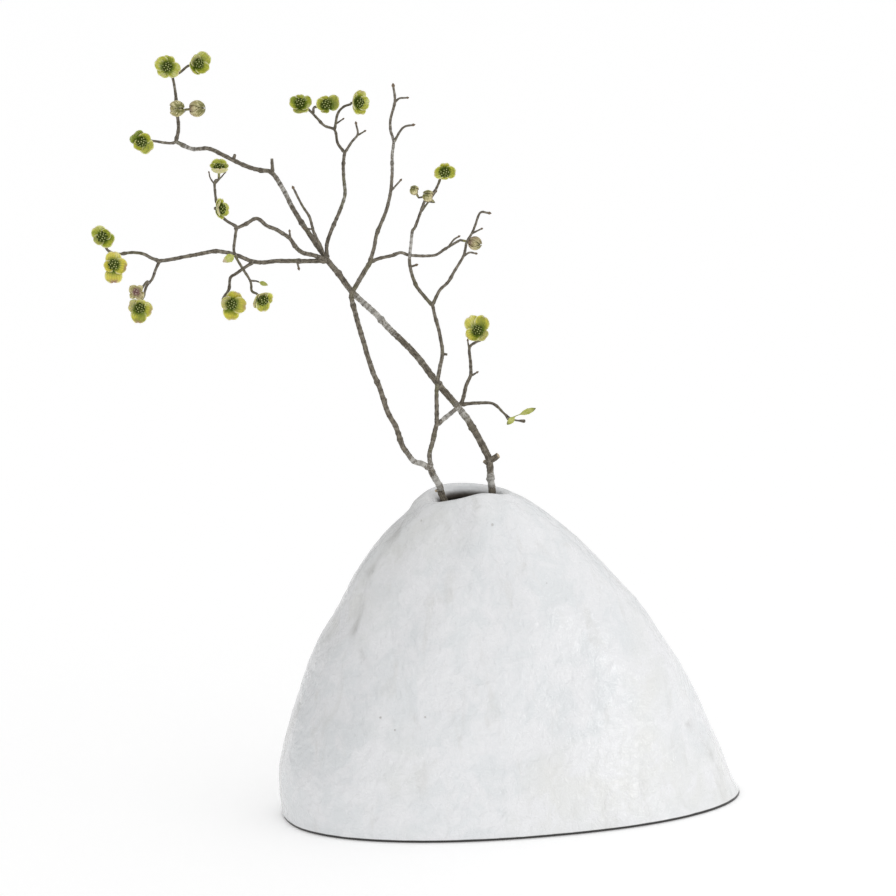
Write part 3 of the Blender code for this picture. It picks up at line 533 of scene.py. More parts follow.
glaze = {
    "white": (0.865, 0.87, 0.885),
    "cool": (0.80, 0.82, 0.835),
    "cream": (0.84, 0.84, 0.825),
    "shade": (0.72, 0.72, 0.705),
    # painted shade in the creases
    "crease": (0.57, 0.57, 0.56),
    "insideShade": (0.11, 0.093, 0.077),  # painted shade, deep inside the neck
    # painted shadow along the foot's lowest edge
    "foot": (0.02, 0.018, 0.016),
    "footShadowLine": (0.0028, 0.0022),  # metres up, where the painted shadow along the foot ends
    "insideShadeLine": (-0.008, -0.02),  # metres across, where the painted shade inside begins
    "patches": 46,
    "drift": 9,
    "gloss": (0.1, 0.3),
    "coat": 0.35,
    "crinkle": (150, 0.0013),
    "pores": (900, 0.00006),
    # pits that broke the glaze: where the camera sees them, and their radius
    "pits": (
        (-64, 216, 0.8), (-14, 216, 0.7), (-92, 87, 0.7), (-61, 88, 0.6), (-82, 79, 0.6),
        (94, 64, 0.7), (66, 155, 0.6), (24, 176, 0.6),
    ),
    "pitColour": (0.34, 0.30, 0.24),
}


def makeGlaze():
    look = Look("whiteGlaze", glaze, "cool")
    coords = look.place()
    patch = coords.cloud(glaze["patches"], 6, 0.62, 0.6)
    drift = coords.cloud(glaze["drift"], 3, 0.5)
    streak = coords.stretched(1, 1, 0.25).cloud(55, 4, 0.6, 0.4)
    inside = look.painted("inside")
    look.cover(patch.between(0.36, 0.6), "white")
    look.cover(drift.between(0.5, 0.7) * patch.between(0.65, 0.42), "cream")
    look.cover(streak.between(0.54, 0.7) * 0.5, "shade")
    # painted shade along the creases, broken by the streaks
    look.cover(look.painted("crease") * streak.between(0.35, 0.62, 0.1, 0.75), "crease")

    # A few tiny pores everywhere, and the pits that the potter left
    cells = coords.into("TexVoronoi", {"Scale": 62.0})
    rare = Value(cells.socket.node.outputs["Color"]).part(0).calc("GREATER_THAN", 0.72)
    pits = cells.between(0.035, 0.015) * rare
    for across, high, radius in glaze["pits"]:
        # the pit lies where the line of sight meets the outside
        section = vaseSection(high)
        pit = Vector((across, section[4] - section[2], high)) * mm
        away = coords.into("VectorMath", {1: pit}, operation="SUBTRACT").stretched(1, 0.05, 1)
        far = away.into("VectorMath", {}, "Value", operation="LENGTH")
        pits = pits.atLeast(far.between(radius * mm * 1.5, radius * mm * 0.6))
    pits *= inside.between(0.3, 0.0)
    look.cover(pits * 0.45, "pitColour")

    # Painted shadow darkens the foot's lowest edge, and painted shade darkens the inside of the
    # neck, lower on the right
    footShadow = (coords.part(2) + patch * 0.0006).between(*glaze["footShadowLine"])
    look.cover(footShadow, "foot")
    # painted shade deep inside the neck
    shadedInside = inside.between(0.5, 0.95) * coords.part(0).between(*glaze["insideShadeLine"])
    look.cover(shadedInside, "insideShade")

    feed(look.inputs["Coat Weight"], shadedInside.between(0.0, 1.0, glaze["coat"], 0.0))
    look.inputs["Coat Roughness"].default_value = 0.06
    scale, deep = glaze["crinkle"]
    bumps = coords.cloud(scale, 5, 0.55, 0.5).relief(deep)
    scale, deep = glaze["pores"]
    bumps = coords.cloud(scale, 2).relief(deep, bumps)
    bumps = (pits * -1.0).relief(0.0004, bumps)
    feed(look.inputs["Coat Normal"], bumps)
    gloss = patch.between(0.3, 0.7, *glaze["gloss"])
    return look.finish(gloss + footShadow.atLeast(shadedInside) * 0.5, bumps)


makeVase(makeGlaze())
print("vase: glazed skin")


# Branches

bark = {
    "spacing": 1.0,  # between rings
    "roughSpacing": 3.5,  # of the rings that set a twig's length for its knuckles
    "sides": ((2.2, 16), (0.95, 12), (0, 10)),  # of a twig that is thicker than this
    "knuckleSpacing": (38, 66),
    "knuckleStop": 3.6,  # none nearer the end than this
    "knuckleSwell": (0.3, 1.3),  # size and reach
    "scarSpacing": (3.5, 8),
    "scarStop": 1.5,
    "scarSwell": (0.11, 0.7),
    "rootShare": 0.85,
    "collarSwell": 0.16,
    "collarPlace": 1.3,
    "approach": 2.2,  # a twig heads straight for what it carries over this length
    "spur": 10,  # shorter twigs have no knuckles
    "uneven": 0.12,
    "wander": (7, 0.1),
    "grain": ((1.1, 0.35, 1), (2.4, 1.2, 0.5)),  # scale round and along, and strength
    "knobRings": ((0.35, 0.95), (0.62, 0.8), (0.82, 0.55), (0.95, 0.2)),
    "tipRings": ((0.4, 1.18), (0.9, 1.45), (1.5, 1.42), (2.1, 1.12), (2.8, 0.68), (3.4, 0.2)),
    "cutRings": ((0.06, 0.97), (0.14, 0.84)),
    # pale patches of lichen: across, high, toward, reach and strength
    "pale": (
        (-66, 251, 13, 11, 0.27), (-47, 286, 0, 9, 0.24), (-53, 238, 8, 7, 0.28),
        (-15, 240, 5, 7, 0.3), (-34, 290, 5, 10, 0.17), (-71, 408, 10, 9, 0.3),
        (-105, 366, -10, 18, 0.18), (-90, 352, -6, 14, 0.18), (-160, 446, -34, 14, 0.2),
        (-117, 446, -37, 16, 0.15), (-84, 470, 30, 22, 0.18), (-225, 476, -58, 14, 0.2),
    ),
}

# where the stems run down inside the vase, before the routes below
stemsInside = {
    "right": ((-4, 26, 9.6), (-5, 22, 60), (-8, 11, 140), (-12.4, -1, 206)),
    "left": ((52, -30, 10.6), (46, -29, 24), (20, -22, 80), (-15, -15, 155), (-38, -9, 205)),
}

# thick and thin end of each twig, what it ends in, and the points that it passes
rightTwigs = {
    "stem": (3, 2, "knob", (
        (-13.4, 229, 4), (-15, 243, 5), (-16, 254, 6), (-22, 267, 6), (-34, 287, 5),
        (-52.6, 309.5, 2), (-67.7, 329.3, -1), (-85.7, 347.3, -5), (-96.7, 359.3, -8),
        (-111.6, 373.4, -12), (-122, 387, -15), (-131, 398, -17),
    )),
    "stemStub": (2.3, 2.1, "cut", ((-16, 253, 6), (-9.5, 257, 8))),
    "stemLedge": (1.7, 1.2, "cut", ((-15, 250, 6), (-19.5, 253, 7))),
    "high": (1.8, 1.4, "knob", (
        (-130, 396, -17), (-141, 413, -22), (-153, 432, -29), (-160, 446, -34), (-168, 458, -38),
        (-176, 460, -41), (-184, 462, -44), (-195, 467, -48), (-201, 470, -50), (-212, 475, -54),
        (-224, 475, -58), (-235, 480, -61),
    )),
    "highKnee": (1.3, 1, "cut", ((-168, 457, -38), (-168, 468, -39))),
    "highKnot": (1.4, 1.1, "knob", ((-195, 467, -48), (-194, 470.4, -47))),
    "highLeft": (1, 0.85, "bloom_03", ((-234, 480, -61), (-241, 479, -61))),
    "highUp": (1.35, 0.85, "bloom_01", (
        (-235, 479, -61), (-233, 489, -61), (-234, 503, -62), (-235, 516, -65), (-237, 526, -67),
    )),
    "highSide": (0.95, 0.85, "bloom_02", (
        (-236.5, 525.5, -66.5), (-231.5, 528, -66), (-226, 532.5, -63),
    )),
    "highBud01": (0.9, 0.85, "bud_01", ((-234.6, 503, -62),)),
    "highBud02": (0.8, 0.85, "bud_02", ((-234, 500, -62), (-229, 501, -58))),
    "thin": (1.2, 0.75, "tip", (
        (-132, 397, -17), (-135, 408, -13), (-139, 416, -10), (-142, 427, -6), (-147, 435, -3),
        (-153, 447, 1),
    )),
    "thinSpur": (0.8, 0.6, "tip", ((-140, 418, -9), (-145, 419, -8))),
    "middle": (1.4, 1.1, "knob", (
        (-130, 396, -17), (-130, 407, -21), (-127, 417, -26), (-123, 426, -30), (-119, 436, -34),
        (-117, 444, -37), (-118, 456, -41), (-118, 466, -45), (-117, 473, -47),
    )),
    "middleLeft": (1.05, 0.85, "bloom_11", (
        (-117, 472, -47), (-122, 479, -50), (-124, 488, -53), (-131, 491, -55), (-136, 496, -57),
        (-143, 503, -59),
    )),
    "middlePair": (0.9, 0.85, "bloom_12", ((-139, 499, -58), (-138, 504, -53))),
    "middleUp": (0.95, 0.85, "bloom_13", (
        (-124, 488, -53), (-122, 499, -54), (-118, 504, -54), (-113, 506, -53),
    )),
    "middleStub": (0.7, 0.5, "tip", ((-123, 492, -53), (-118.5, 495.5, -53))),
    "middleRight": (1, 0.7, "tip", (
        (-117, 472, -47), (-112, 480, -44), (-108, 485, -42), (-109, 492, -41),
    )),
    "middleTip": (0.75, 0.55, "tip", ((-108.5, 484, -42), (-103.5, 487, -42))),
    "low": (1.6, 1.2, "knob", (
        (-130, 397, -17), (-139, 400, -11), (-147, 402, -5), (-152, 406, 1), (-156, 412, 6),
        (-165, 418, 13), (-172, 421, 18), (-179, 426, 23), (-187, 422, 28), (-194, 419, 31),
    )),
    "lowSpur": (0.8, 0.6, "tip", ((-155.5, 411, 6), (-156, 416.5, 7))),
    "lowUp": (1.05, 0.85, "bloom_04", (
        (-192, 420, 31), (-202, 426, 29), (-206.5, 436, 29), (-208, 445, 31), (-208, 452, 33),
    )),
    "lowProngLeft": (0.6, 0.45, "tip", ((-208, 450, 32), (-211.2, 454.5, 33), (-212, 458, 34))),
    "lowProngRight": (0.6, 0.45, "tip", ((-208, 450, 32), (-204.5, 454, 32), (-201, 458, 33))),
    "lowSide": (0.9, 0.85, "bloom_05", ((-206, 432, 29), (-208, 433.5, 32))),
    "lowDown": (1.05, 0.85, "bloom_10", (
        (-193, 421, 31), (-194.5, 411, 34), (-195, 402, 37), (-190, 392, 40), (-184, 382, 41),
        (-183, 375, 40),
    )),
    "lowLeaf01": (0.7, 0.6, "leaf_01", ((-195, 401.5, 36.5),)),
    "lowLeaf02": (0.7, 0.6, "leaf_02", ((-184.5, 382, 41),)),
    "far": (1.6, 1.25, "knob", (
        (-129, 396, -17), (-139, 396, -13), (-151, 396, -7), (-165, 396, 0), (-175, 395, 6),
        (-183, 396, 10), (-193, 400, 15), (-200, 402, 18), (-209, 403, 21), (-219, 401, 24),
        (-230, 399, 28), (-240, 397, 32), (-249, 396, 35),
    )),
    "farSpur": (0.9, 0.7, "tip", ((-151, 396, -7), (-150, 391.5, -7))),
    "farDown": (1.2, 0.85, "bloom_09", (
        (-181, 396, 9), (-187, 392, 12), (-194, 387, 14), (-198, 384, 15), (-199, 376, 17),
        (-203, 370, 18), (-203, 368, 20),
    )),
    "farLeft": (1.2, 0.85, "bloom_06", (
        (-247, 396, 35), (-253, 398, 36), (-259, 401, 37), (-267, 402, 38), (-276, 401, 40),
        (-283, 403, 41), (-286, 408, 42),
    )),
    "farHang": (0.9, 0.85, "bloom_07", ((-274, 401, 39.5), (-279, 398, 43))),
    "farLow": (1, 0.85, "bloom_08", (
        (-247, 396, 35), (-250, 391, 35), (-253, 383, 34), (-257, 378, 33), (-260, 369, 34),
    )),
    "farBud": (0.85, 0.85, "bud_03", ((-255, 380, 34), (-257, 381, 44))),
}
leftTwigs = {
    "stem": (2.7, 2.3, "knob", ((-49, 228, 5), (-51, 235, 7), (-55, 242, 9), (-58, 249, 11))),
    "stemLedge": (1.4, 1, "cut", ((-50, 232, 6), (-53.6, 231.6, 9))),
    "left": (1.9, 1.65, "knob", (
        (-57, 247, 11), (-63, 251, 12), (-69, 253, 13), (-74, 259, 13), (-78, 266, 14),
        (-82, 278, 14), (-88, 289, 14), (-93, 305, 13), (-99, 320, 13), (-107, 347, 12),
        (-110, 358, 11), (-113, 371, 11), (-110, 378, 11), (-99, 396, 9),
    )),
    "leftStub": (1, 0.8, "cut", ((-88, 290, 14), (-89, 298, 14))),
    "leftUp": (1.4, 0.85, "tip", (
        (-100, 394, 9), (-97, 405, 11), (-95, 415, 14), (-90, 427, 18), (-87, 436, 21),
        (-85, 446, 24), (-84, 459, 27), (-84, 470, 30), (-83, 480, 32), (-85, 488, 34),
        (-85, 496, 36), (-82, 508, 39), (-83, 518, 41),
    )),
    "leftUpSpur": (0.8, 0.6, "tip", ((-85.5, 445, 24), (-78.5, 452.5, 25))),
    "leftUpFork": (0.95, 0.7, "tip", (
        (-83.5, 479, 32), (-78.5, 487, 33), (-75, 490.5, 34), (-70, 491.5, 35),
    )),
    "leftUpTip": (0.8, 0.6, "tip", ((-82.5, 507, 39), (-79, 510, 39), (-74, 510.5, 39))),
    "leftAcross": (1.25, 0.85, "bud_06", (
        (-99, 395, 9), (-93, 398, 5), (-84, 400, 1), (-78, 402, -4), (-71, 400, -9),
        (-55, 400, -18), (-48, 404, -24), (-43, 407, -30),
    )),
    "leftAcrossSpur": (0.75, 0.6, "tip", ((-43, 407.5, -26), (-41, 411, -26), (-38, 413, -26))),
    "right": (1.7, 1.15, "knob", (
        (-57, 247, 11), (-58, 258, 10), (-56, 267, 8), (-54, 276, 7), (-53, 281, 7), (-53, 293, 11),
        (-53, 305, 15), (-51, 319, 17), (-49, 331, 18), (-51, 345, 19), (-54, 356, 20),
        (-56, 366, 21),
    )),
    "rightSpur": (1, 0.8, "cut", ((-49.5, 330, 18), (-45.5, 329.5, 18))),
    "rightUp": (1.3, 0.85, "bloom_14", (
        (-55.5, 364, 21), (-65, 375, 18), (-68, 380, 16), (-71, 389, 13), (-72, 397, 11),
        (-71, 408, 10), (-70, 417, 10), (-68, 420, 10), (-64, 431, 11), (-60, 441, 12),
        (-53.5, 446.5, 14.5),
    )),
    "rightUpKnot": (0.9, 0.7, "tip", ((-71, 392, 12), (-68, 393, 13))),
    "rightUpBall": (0.75, 0.7, "tip", (
        (-64, 430, 11), (-60, 436, 9), (-57, 440, 8), (-54, 444.5, 8),
    )),
    "rightUpBud04": (0.7, 0.65, "bud_04", ((-59.5, 442, 12),)),
    "rightUpBud05": (0.7, 0.65, "bud_05", ((-61, 438.2, 12),)),
    "rightFork": (1.15, 0.75, "tip", (
        (-56.5, 364, 21), (-51, 375, 19), (-45, 381, 17), (-41, 388, 15), (-34, 400, 11),
        (-32, 409, 9), (-28, 416, 8), (-26, 421, 7), (-22.5, 430, 6), (-17, 430, 6),
    )),
    "rightForkLow": (0.8, 0.6, "tip", ((-34.5, 399, 11), (-30, 402, 12), (-26, 401.5, 12))),
    "rightForkHigh": (0.75, 0.55, "tip", ((-28.5, 415.5, 8), (-22, 418.5, 9))),
    "behind": (1.7, 0.85, "bloom_15", (
        (-53.5, 279, 7), (-46, 285, 0), (-39, 291, -7), (-35, 296, -10), (-32, 308, -14),
        (-29, 315, -17), (-29, 323, -19), (-30, 334, -22), (-26, 338, -26), (-20, 341, -29),
    )),
    "behindSpurLow": (0.8, 0.6, "tip", ((-29.5, 314, -17), (-25, 316.5, -17))),
    "behindSpurHigh": (0.7, 0.55, "tip", ((-30, 333, -22), (-31, 339, -21))),
    "behindRight": (1.35, 0.75, "leaf_03", (
        (-37, 294, -9), (-30, 294.5, -10), (-16, 295, -12), (-11, 293, -13), (-7, 289, -14),
        (-4, 286, -14),
    )),
    "behindKnob": (0.7, 0.65, "cut", ((-6, 287.5, -14), (1, 283, -16), (8, 282, -17))),
    "behindBall": (0.9, 1.35, "knob", ((5.5, 282.4, -16.5), (8.6, 281.9, -17.1))),
}


def nearestOn(lines, point):
    found = lines[0][0]
    for line in lines:
        for start, end in zip(line, line[1:]):
            span = end - start
            share = (point - start).dot(span) / span.length_squared
            place = start.lerp(end, min(max(share, 0), 1))
            if (place - point).length < (found - point).length:
                found = place
    return found


def smoothPath(points, spacing):
    counts = [max(1, round((b - a).length / spacing)) for a, b in zip(points, points[1:])]
    path = [Vector(row) for row in curveThrough([list(p) for p in points], counts)]
    travelled = [0]
    for a, b in zip(path, path[1:]):
        travelled.append(travelled[-1] + (b - a).length)
    return path, travelled


def placesAlong(length, spacing, rng, stop):
    places = [rng.uniform(*spacing) / 2]
    while places[-1] < length - stop:
        places.append(places[-1] + rng.uniform(*spacing))
    return places[:-1]


def twigRadius(distance, length, twig, knuckles, scars):
    thick, thin = twig[:2]
    swell = 1 - (1 - bark["rootShare"]) * hump(distance, thick)
    if length >= bark["spur"]:
        swell += bark["collarSwell"] * hump(distance - bark["collarPlace"] * thick - 1, thick)
    for places, (size, reach) in ((knuckles, bark["knuckleSwell"]), (scars, bark["scarSwell"])):
        swell += size * sum(hump(distance - place, reach) for place in places)
    return (thick + (thin - thick) * distance / length) * swell


def growTwig(skin, points, twig, knuckles, rng):
    path, travelled = smoothPath(points, bark["spacing"])
    length = travelled[-1]
    scars = placesAlong(length, bark["scarSpacing"], rng, bark["scarStop"])
    thick, thin, end = twig[:3]
    stations = []
    for point, distance in zip(path, travelled):
        radius = twigRadius(distance, length, twig, knuckles, scars)
        stations.append((point, radius, distance, 0, 0))
    heading = (path[-1] - path[-2]).normalized()
    if end in ("knob", "tip", "cut"):
        for far, wide in bark[end + "Rings"]:
            point = path[-1] + heading * thin * far
            cut = end == "cut" and wide < 0.9
            stations.append((point, thin * wide, length + thin * far, int(end == "tip"), int(cut)))
    else:
        start, heading = stalkStart(end)
        stations.append((start + heading * 0.1, thin, length + bark["approach"], 0, 0))

    offset = Vector([rng.uniform(-80, 80) for _ in range(3)])
    side = Vector((0.31, 0.87, 0.38))
    sides = next(count for least, count in bark["sides"] if thick > least)
    size, strength = bark["wander"]
    rings = []
    for i, (point, radius, distance, bud, cut) in enumerate(stations):
        ahead = stations[min(i + 1, len(stations) - 1)][0]
        behind = stations[max(i - 1, 0)][0]
        tangent = (ahead - behind).normalized()
        side = (side - tangent * side.dot(tangent)).normalized()
        upward = tangent.cross(side)
        middle = point + noise.noise_vector(point / size) * strength * radius
        pale = 0
        for *place, reach, much in bark["pale"]:
            pale += much * hump((point - seen(place)).length, reach)
        scar = max([hump(distance - place, 0.8) for place in scars + knuckles] or [0.0])
        ring = []
        for turn, _ in around(sides):
            flat = Vector((math.cos(turn) * radius, math.sin(turn) * radius, distance))
            rough = 0
            for across, along, much in bark["grain"]:
                spot = Vector((flat.x * across, flat.y * across, distance * along)) + offset
                rough += much * noise.noise(spot)
            out = (side * math.cos(turn) + upward * math.sin(turn)) * radius
            out *= 1 + bark["uneven"] * rough * (0.3 if bud or cut else 1)
            ring.append(skin.dot(
                middle + out, grain=flat + offset, pale=pale, scar=scar, bud=bud, cut=cut))
        rings.append(ring)
    ends = []
    for point, _, distance, bud, cut in (stations[0], stations[-1]):
        grain = Vector((0, 0, distance)) + offset
        ends.append(skin.dot(point, grain=grain, pale=0, scar=0.0, bud=bud, cut=cut))
    skin.tube(rings, *ends)
    return path


def makeBranch(side, twigs, seed, material):
    rng = random.Random(seed)
    skin = Skin()
    lines = []
    for key, twig in twigs.items():
        points = [Vector(place) for place in stemsInside[side]] if key == "stem" else []
        points += [seen(place) for place in twig[3]]
        if twig[2] not in ("knob", "tip", "cut"):
            start, heading = stalkStart(twig[2])
            points.append(start - heading * bark["approach"] * stalkShare(twig[2]))
        if lines:
            points[0] = nearestOn(lines, points[0])
        length = smoothPath(points, bark["roughSpacing"])[1][-1]
        knuckles = []
        if length >= bark["spur"]:
            knuckles = placesAlong(length, bark["knuckleSpacing"], rng, bark["knuckleStop"])
        ownRng = random.Random(seed * 100 + len(lines))
        lines.append(growTwig(skin, points, twig, knuckles, ownRng))
    skin.make("branch" + side.capitalize(), material, "grey_bark", "branch_" + side)


barkLook = {
    "dark": (0.068, 0.056, 0.042),
    "middle": (0.255, 0.224, 0.172),
    "light": (0.38, 0.35, 0.295),
    "lichen": (0.60, 0.585, 0.545),
    "olive": (0.17, 0.165, 0.085),
    "bud": (0.21, 0.15, 0.10),
    "wood": (0.52, 0.42, 0.29),
    "roughness": (0.62, 0.9),
    "furrow": 0.00035,
}


def makeBark():
    look = Look("greyBark", barkLook, "dark")
    grain = look.painted("grain", "Vector")
    streaks = grain.stretched(1, 1, 0.16).cloud(1.5, 4, 0.6)
    bands = grain.stretched(0.16, 0.16, 0.5).cloud(1.0, 4, 0.62, 0.3)
    flakes = grain.cloud(1.1, 4, 0.6)
    olive = grain.stretched(0.05, 0.05, 0.05).cloud(1.0, 2)
    cracks = grain.stretched(1, 1, 0.3).cloud(2.6, 3)
    look.cover(streaks.between(0.36, 0.62), "middle")
    look.cover(bands.between(0.5, 0.7, 0.0, 0.6), "light")
    look.cover(olive.between(0.55, 0.7) * 0.6, "olive")
    # pale patches break up along the bands and flakes
    patches = (look.painted("pale") + flakes * 0.6 + bands * 0.45).between(0.62, 0.8)
    look.cover(patches * 0.9, "lichen")
    look.cover(look.painted("bud") * 0.75, "bud")
    look.cover(look.painted("cut"), "wood")
    look.cover(cracks.between(0.42, 0.3) * 0.7, "dark")
    scar = look.painted("scar") * flakes.between(0.38, 0.56, 0.1, 0.7)
    look.cover(scar, "dark")
    look.inputs["Specular IOR Level"].default_value = 0.3
    height = streaks * 0.7 + flakes * 0.5 + patches * 0.25
    rough = flakes.between(0.3, 0.7, *barkLook["roughness"])
    return look.finish(rough, height.relief(barkLook["furrow"]))


# Blooms, buds and leaves

# The place, the turn to the right and up, how far the cup closes over 10 mm, the direction and
# length of each bract, how yellow they are, how pink each tip is, and how pale each bract is
blooms = {
    "01": (
        (-240.4, 532, -60), 2, 0, 40, ((75, 8.4), (150, 10.6), (-125, 8.4), (-28, 11.4)),
        0.3, (0, 0, 0, 0.1), (0, 0, 0, 0)),
    "02": (
        (-219.5, 533.8, -52), 26, 8, 62, ((38, 11.5), (135, 8.4), (-135, 9.6), (-50, 10.4)),
        0.2, (0, 0, 0.2, 0), (0.15, 0.55, 0, 0)),
    "03": (
        (-259.5, 480.5, -54), 14, -14, 55, ((-42, 10.2), (48, 8.2), (138, 10), (-130, 7.4)),
        0.3, (0, 0, 0, 0), (0.1, 0, -0.6, 0)),
    "04": (
        (-205, 459.4, 40), 4, 60, 74, ((90, 9.4), (0, 8), (-90, 10.8), (180, 8)),
        0.15, (0, 0, 0.3, 0), (0, 0.1, 0.8, 0)),
    "05": (
        (-206, 432.8, 36), 56, 2, 66, ((82, 7.2), (170, 10.4), (-100, 7.4), (-10, 8.6)),
        0.2, (0, 0.2, 0, 0), (0, 0.6, 0, 0)),
    "06": (
        (-287.2, 412.6, 49), -6, 10, 48, ((125, 9), (40, 7), (-35, 9.6), (-145, 7.2)),
        0.2, (0.1, 0, 0.1, 0), (0, 0, 0, 0.3)),
    "07": (
        (-280, 393.3, 52), 2, 4, 34, ((92, 9.4), (-10, 10.4), (-90, 14.6), (-162, 7.2)),
        0.95, (0.2, 0.9, 1, 0), (0.1, 0, 0.1, 0)),
    "08": (
        (-262.6, 363.1, 39), 14, -8, 42, ((-18, 9.2), (72, 6.4), (163, 7.8), (-97, 12)),
        0.6, (0.6, 0, 0.3, 0.8), (0, 0, 0.7, 0)),
    "09": (
        (-198.2, 365.6, 28), 18, -6, 46, ((66, 9.8), (-8, 11.8), (-92, 11.8), (165, 8.6)),
        0.8, (0.5, 0.5, 0.4, 0.2), (0, 0.1, 0, 0.6)),
    "10": (
        (-176.4, 369.6, 46), 32, -28, 62, ((8, 7.8), (100, 6.8), (-168, 8.8), (-80, 9.8)),
        0.5, (0.2, 0, 0.3, 0.2), (0, 0.8, 0.8, 0)),
    "11": (
        (-148, 505.8, -52), -2, 24, 58, ((92, 6.8), (-4, 10.6), (-84, 9.3), (178, 8.9)),
        0.15, (0, 0, 0, 0), (0, 0, 0.25, 0)),
    "12": (
        (-130.2, 505, -43), 8, 16, 59, ((100, 6.6), (12, 12.6), (-105, 5.6), (178, 8.6)),
        0.3, (0, 0.1, 0, 0), (0, 0.15, 0, 0.1)),
    "13": (
        (-108.4, 507.2, -49), 38, 2, 60, ((78, 9.3), (-10, 9.2), (-88, 9.6), (172, 11)),
        0.3, (0.5, 0, 0.2, 0), (0, 0, 0, 0.5)),
    "14": (
        (-47.4, 459.6, 22), 2, -24, 44, ((88, 5.8), (-6, 8.2), (-90, 6), (-172, 7.9)),
        0.35, (0.2, 0, 0, 0.3), (0, 0, 0, 0)),
    "15": (
        (-23.8, 345.6, -20), -8, 20, 40, ((127, 12.6), (64, 12.8), (-38, 8.2), (-142, 10)),
        0.75, (0, 0.1, 0, 0.3), (0.1, 0, 0.5, 0)),
}
reachShare = dict.fromkeys(("01", "02", "06", "07"), 0.945)  # keeps these inside the part's box
bractShape = {
    "rows": 20,
    "columns": 16,
    "thick": 0.42,
    "rimShare": 0.45,  # how thick the rim is
    "layer": 0.48,
    "width": 13,
    "stoutness": 1.35,  # a short bract is at most this many times as wide as long
    "root": 0.6,
    "notch": 0.07,
    "notchWidth": 0.2,
    "shoulder": 0.08,  # how much shorter the tip's corners are
    "outline": (
        (0, 0.03), (0.1, 0.17), (0.25, 0.31), (0.42, 0.43), (0.6, 0.51), (0.78, 0.505),
        (0.92, 0.44), (1, 0.34),
    ),
    "lean": 0.12,
    "curl": 0.35,
    "wave": 0.36,
    "vein": 0.07,
    "veins": 9.4,
}
scaleShape = dict(
    bractShape,
    notch=0,
    shoulder=0.05,
    wave=0.08,
    closed=176,  # how far round the tips of a closed bud reach, in degrees
    outline=(
        (0, 0.02), (0.12, 0.2), (0.36, 0.46), (0.6, 0.51), (0.75, 0.48), (0.9, 0.33), (1, 0.05),
    ),
    # direction of each scale, and its width over the bud's own
    pairs=((90, 1.3), (0, 0.9), (-90, 1.3), (180, 0.9)),
)
stalkShape = {
    "length": 4.6,
    "profile": (
        (-5.0, 0.8), (-4.2, 0.87), (-3.0, 0.8), (-2.0, 0.86), (-0.9, 1.3),
        (-0.2, 1.75), (0.5, 1.95), (1.2, 1.9),
    ),
    "sides": 12,
    "square": 0.06,
    "fade": (-0.6, 1.2),  # how far down its colour runs into the stalk's
    "short": {"bloom_05": 0.35, "bud_01": 0.4},  # the share that is left of these stalks
}
headShape = {
    "radius": 3.8,
    "inset": 0.25,
    "budInset": 0.2,
    "seat": 1.5,
    "foot": 1.4,
    "lift": 0.42,
    "flat": 0.62,  # height of the dome over its radius
    "end": 92,
    "under": 0.35,  # how far the florets' bed lies below the head's outline
    "bedRings": 7,
    "bedSides": 20,
    "florets": 25,
    "spiral": 2.399963,  # radians from floret to floret
    "strewn": 0.1,
    "tilt": 0.12,
    "floretRadius": 0.72,
    "floretSizes": (0.88, 1.1),
    # radius share, height and paleness of a closed floret, from its foot to its tip
    "floret": (
        (0.75, -0.5, 0), (1.0, 0.0, 0), (1.0, 0.3, 0), (0.82, 0.58, 0.1), (0.5, 0.76, 0.9),
        (0.16, 0.8, 1),
    ),
    "floretFoot": -0.5,
    "floretTip": (0.78, 0.4),
    "floretSides": 8,
    "floretLobes": (4, 0.1),
    "young": (0.78, 0.5),  # where the closed florets' pale tips begin and are full
}

# The place, its height above the stalk's end, the turn to the right and up, how far the scales
# close over 10 mm, their length and width, the radius of the head inside, how far the scales are
# turned about the stalk, and how brown each of the four is
buds = {
    "01": ((-234, 503, -47.5), 5, 28, 2, 112, 13.4, 9.4, 1.8, 0, (0, -0.5, 0, 0)),
    "02": ((-220, 503, -48), 5.2, 52, 4, 108, 14, 9.8, 1.8, 0, (-0.2, -0.5, 0.1, 0.35)),
    "03": ((-264, 373.8, 48), 0, -8, 12, 30, 5.8, 6, 2.4, 45, (0, 0.1, 0.3, 0)),
    "04": ((-68.6, 446, 22), 3, -22, 33, 207, 7.6, 5.25, 0.9, 0, (0, 0.4, 0, -0.3)),
    "05": ((-59, 442, 24), 3.6, -28, 26, 166, 9.8, 6.2, 1, 0, (0, 0.4, 0, -0.3)),
    "06": ((-26.2, 408.6, -36), 4.2, 74, -12, 134, 11.8, 7.3, 1.4, 0, (0.7, 0.3, 0.2, 0.35)),
}

# where each blade starts and ends, its width, its stalk's share and its arch
leaves = {
    "01": (((-195, 400, 41), (-203, 395.5, 50), 5.8, 0.1, 1.2),),
    "02": (((-178, 381.2, 39), (-171.8, 379, 43.5), 2.8, 0.15, 0.8),),
    "03": (
        ((-1, 284, -13), (17, 291, -8), 3.8, 0.42, 1.2),
        ((3, 285.6, -12), (-3.2, 279.5, -6), 4, 0.2, 0.6),
    ),
}


def stalkShare(key):
    return stalkShape["short"].get(key, 1)


def baseOf(key):
    kind, number = key.split("_")
    if kind == "bloom":
        place, yaw, pitch = blooms[number][:3]
        middle = 0
    else:
        place, middle, yaw, pitch = buds[number][:4]
    place = seen(place)
    axes = facing(place, yaw, pitch)
    return place - axes @ Vector((0, 0, middle)), axes


def stalkStart(key):
    kind, number = key.split("_")
    if kind == "leaf":
        start, end = (seen(place) for place in leaves[number][0][:2])
        return start, (end - start).normalized()
    base, axes = baseOf(key)
    return base - axes @ up * stalkShape["length"] * stalkShare(key), axes @ up


def readCurve(rows, at):
    # a smooth value between (place, value) rows
    for (a, low), (b, high) in zip(rows, rows[1:]):
        if at <= b:
            t = (at - a) / (b - a)
            return low + (high - low) * (t * t * (3 - 2 * t) * 0.4 + t * 0.6)
    return rows[-1][1]


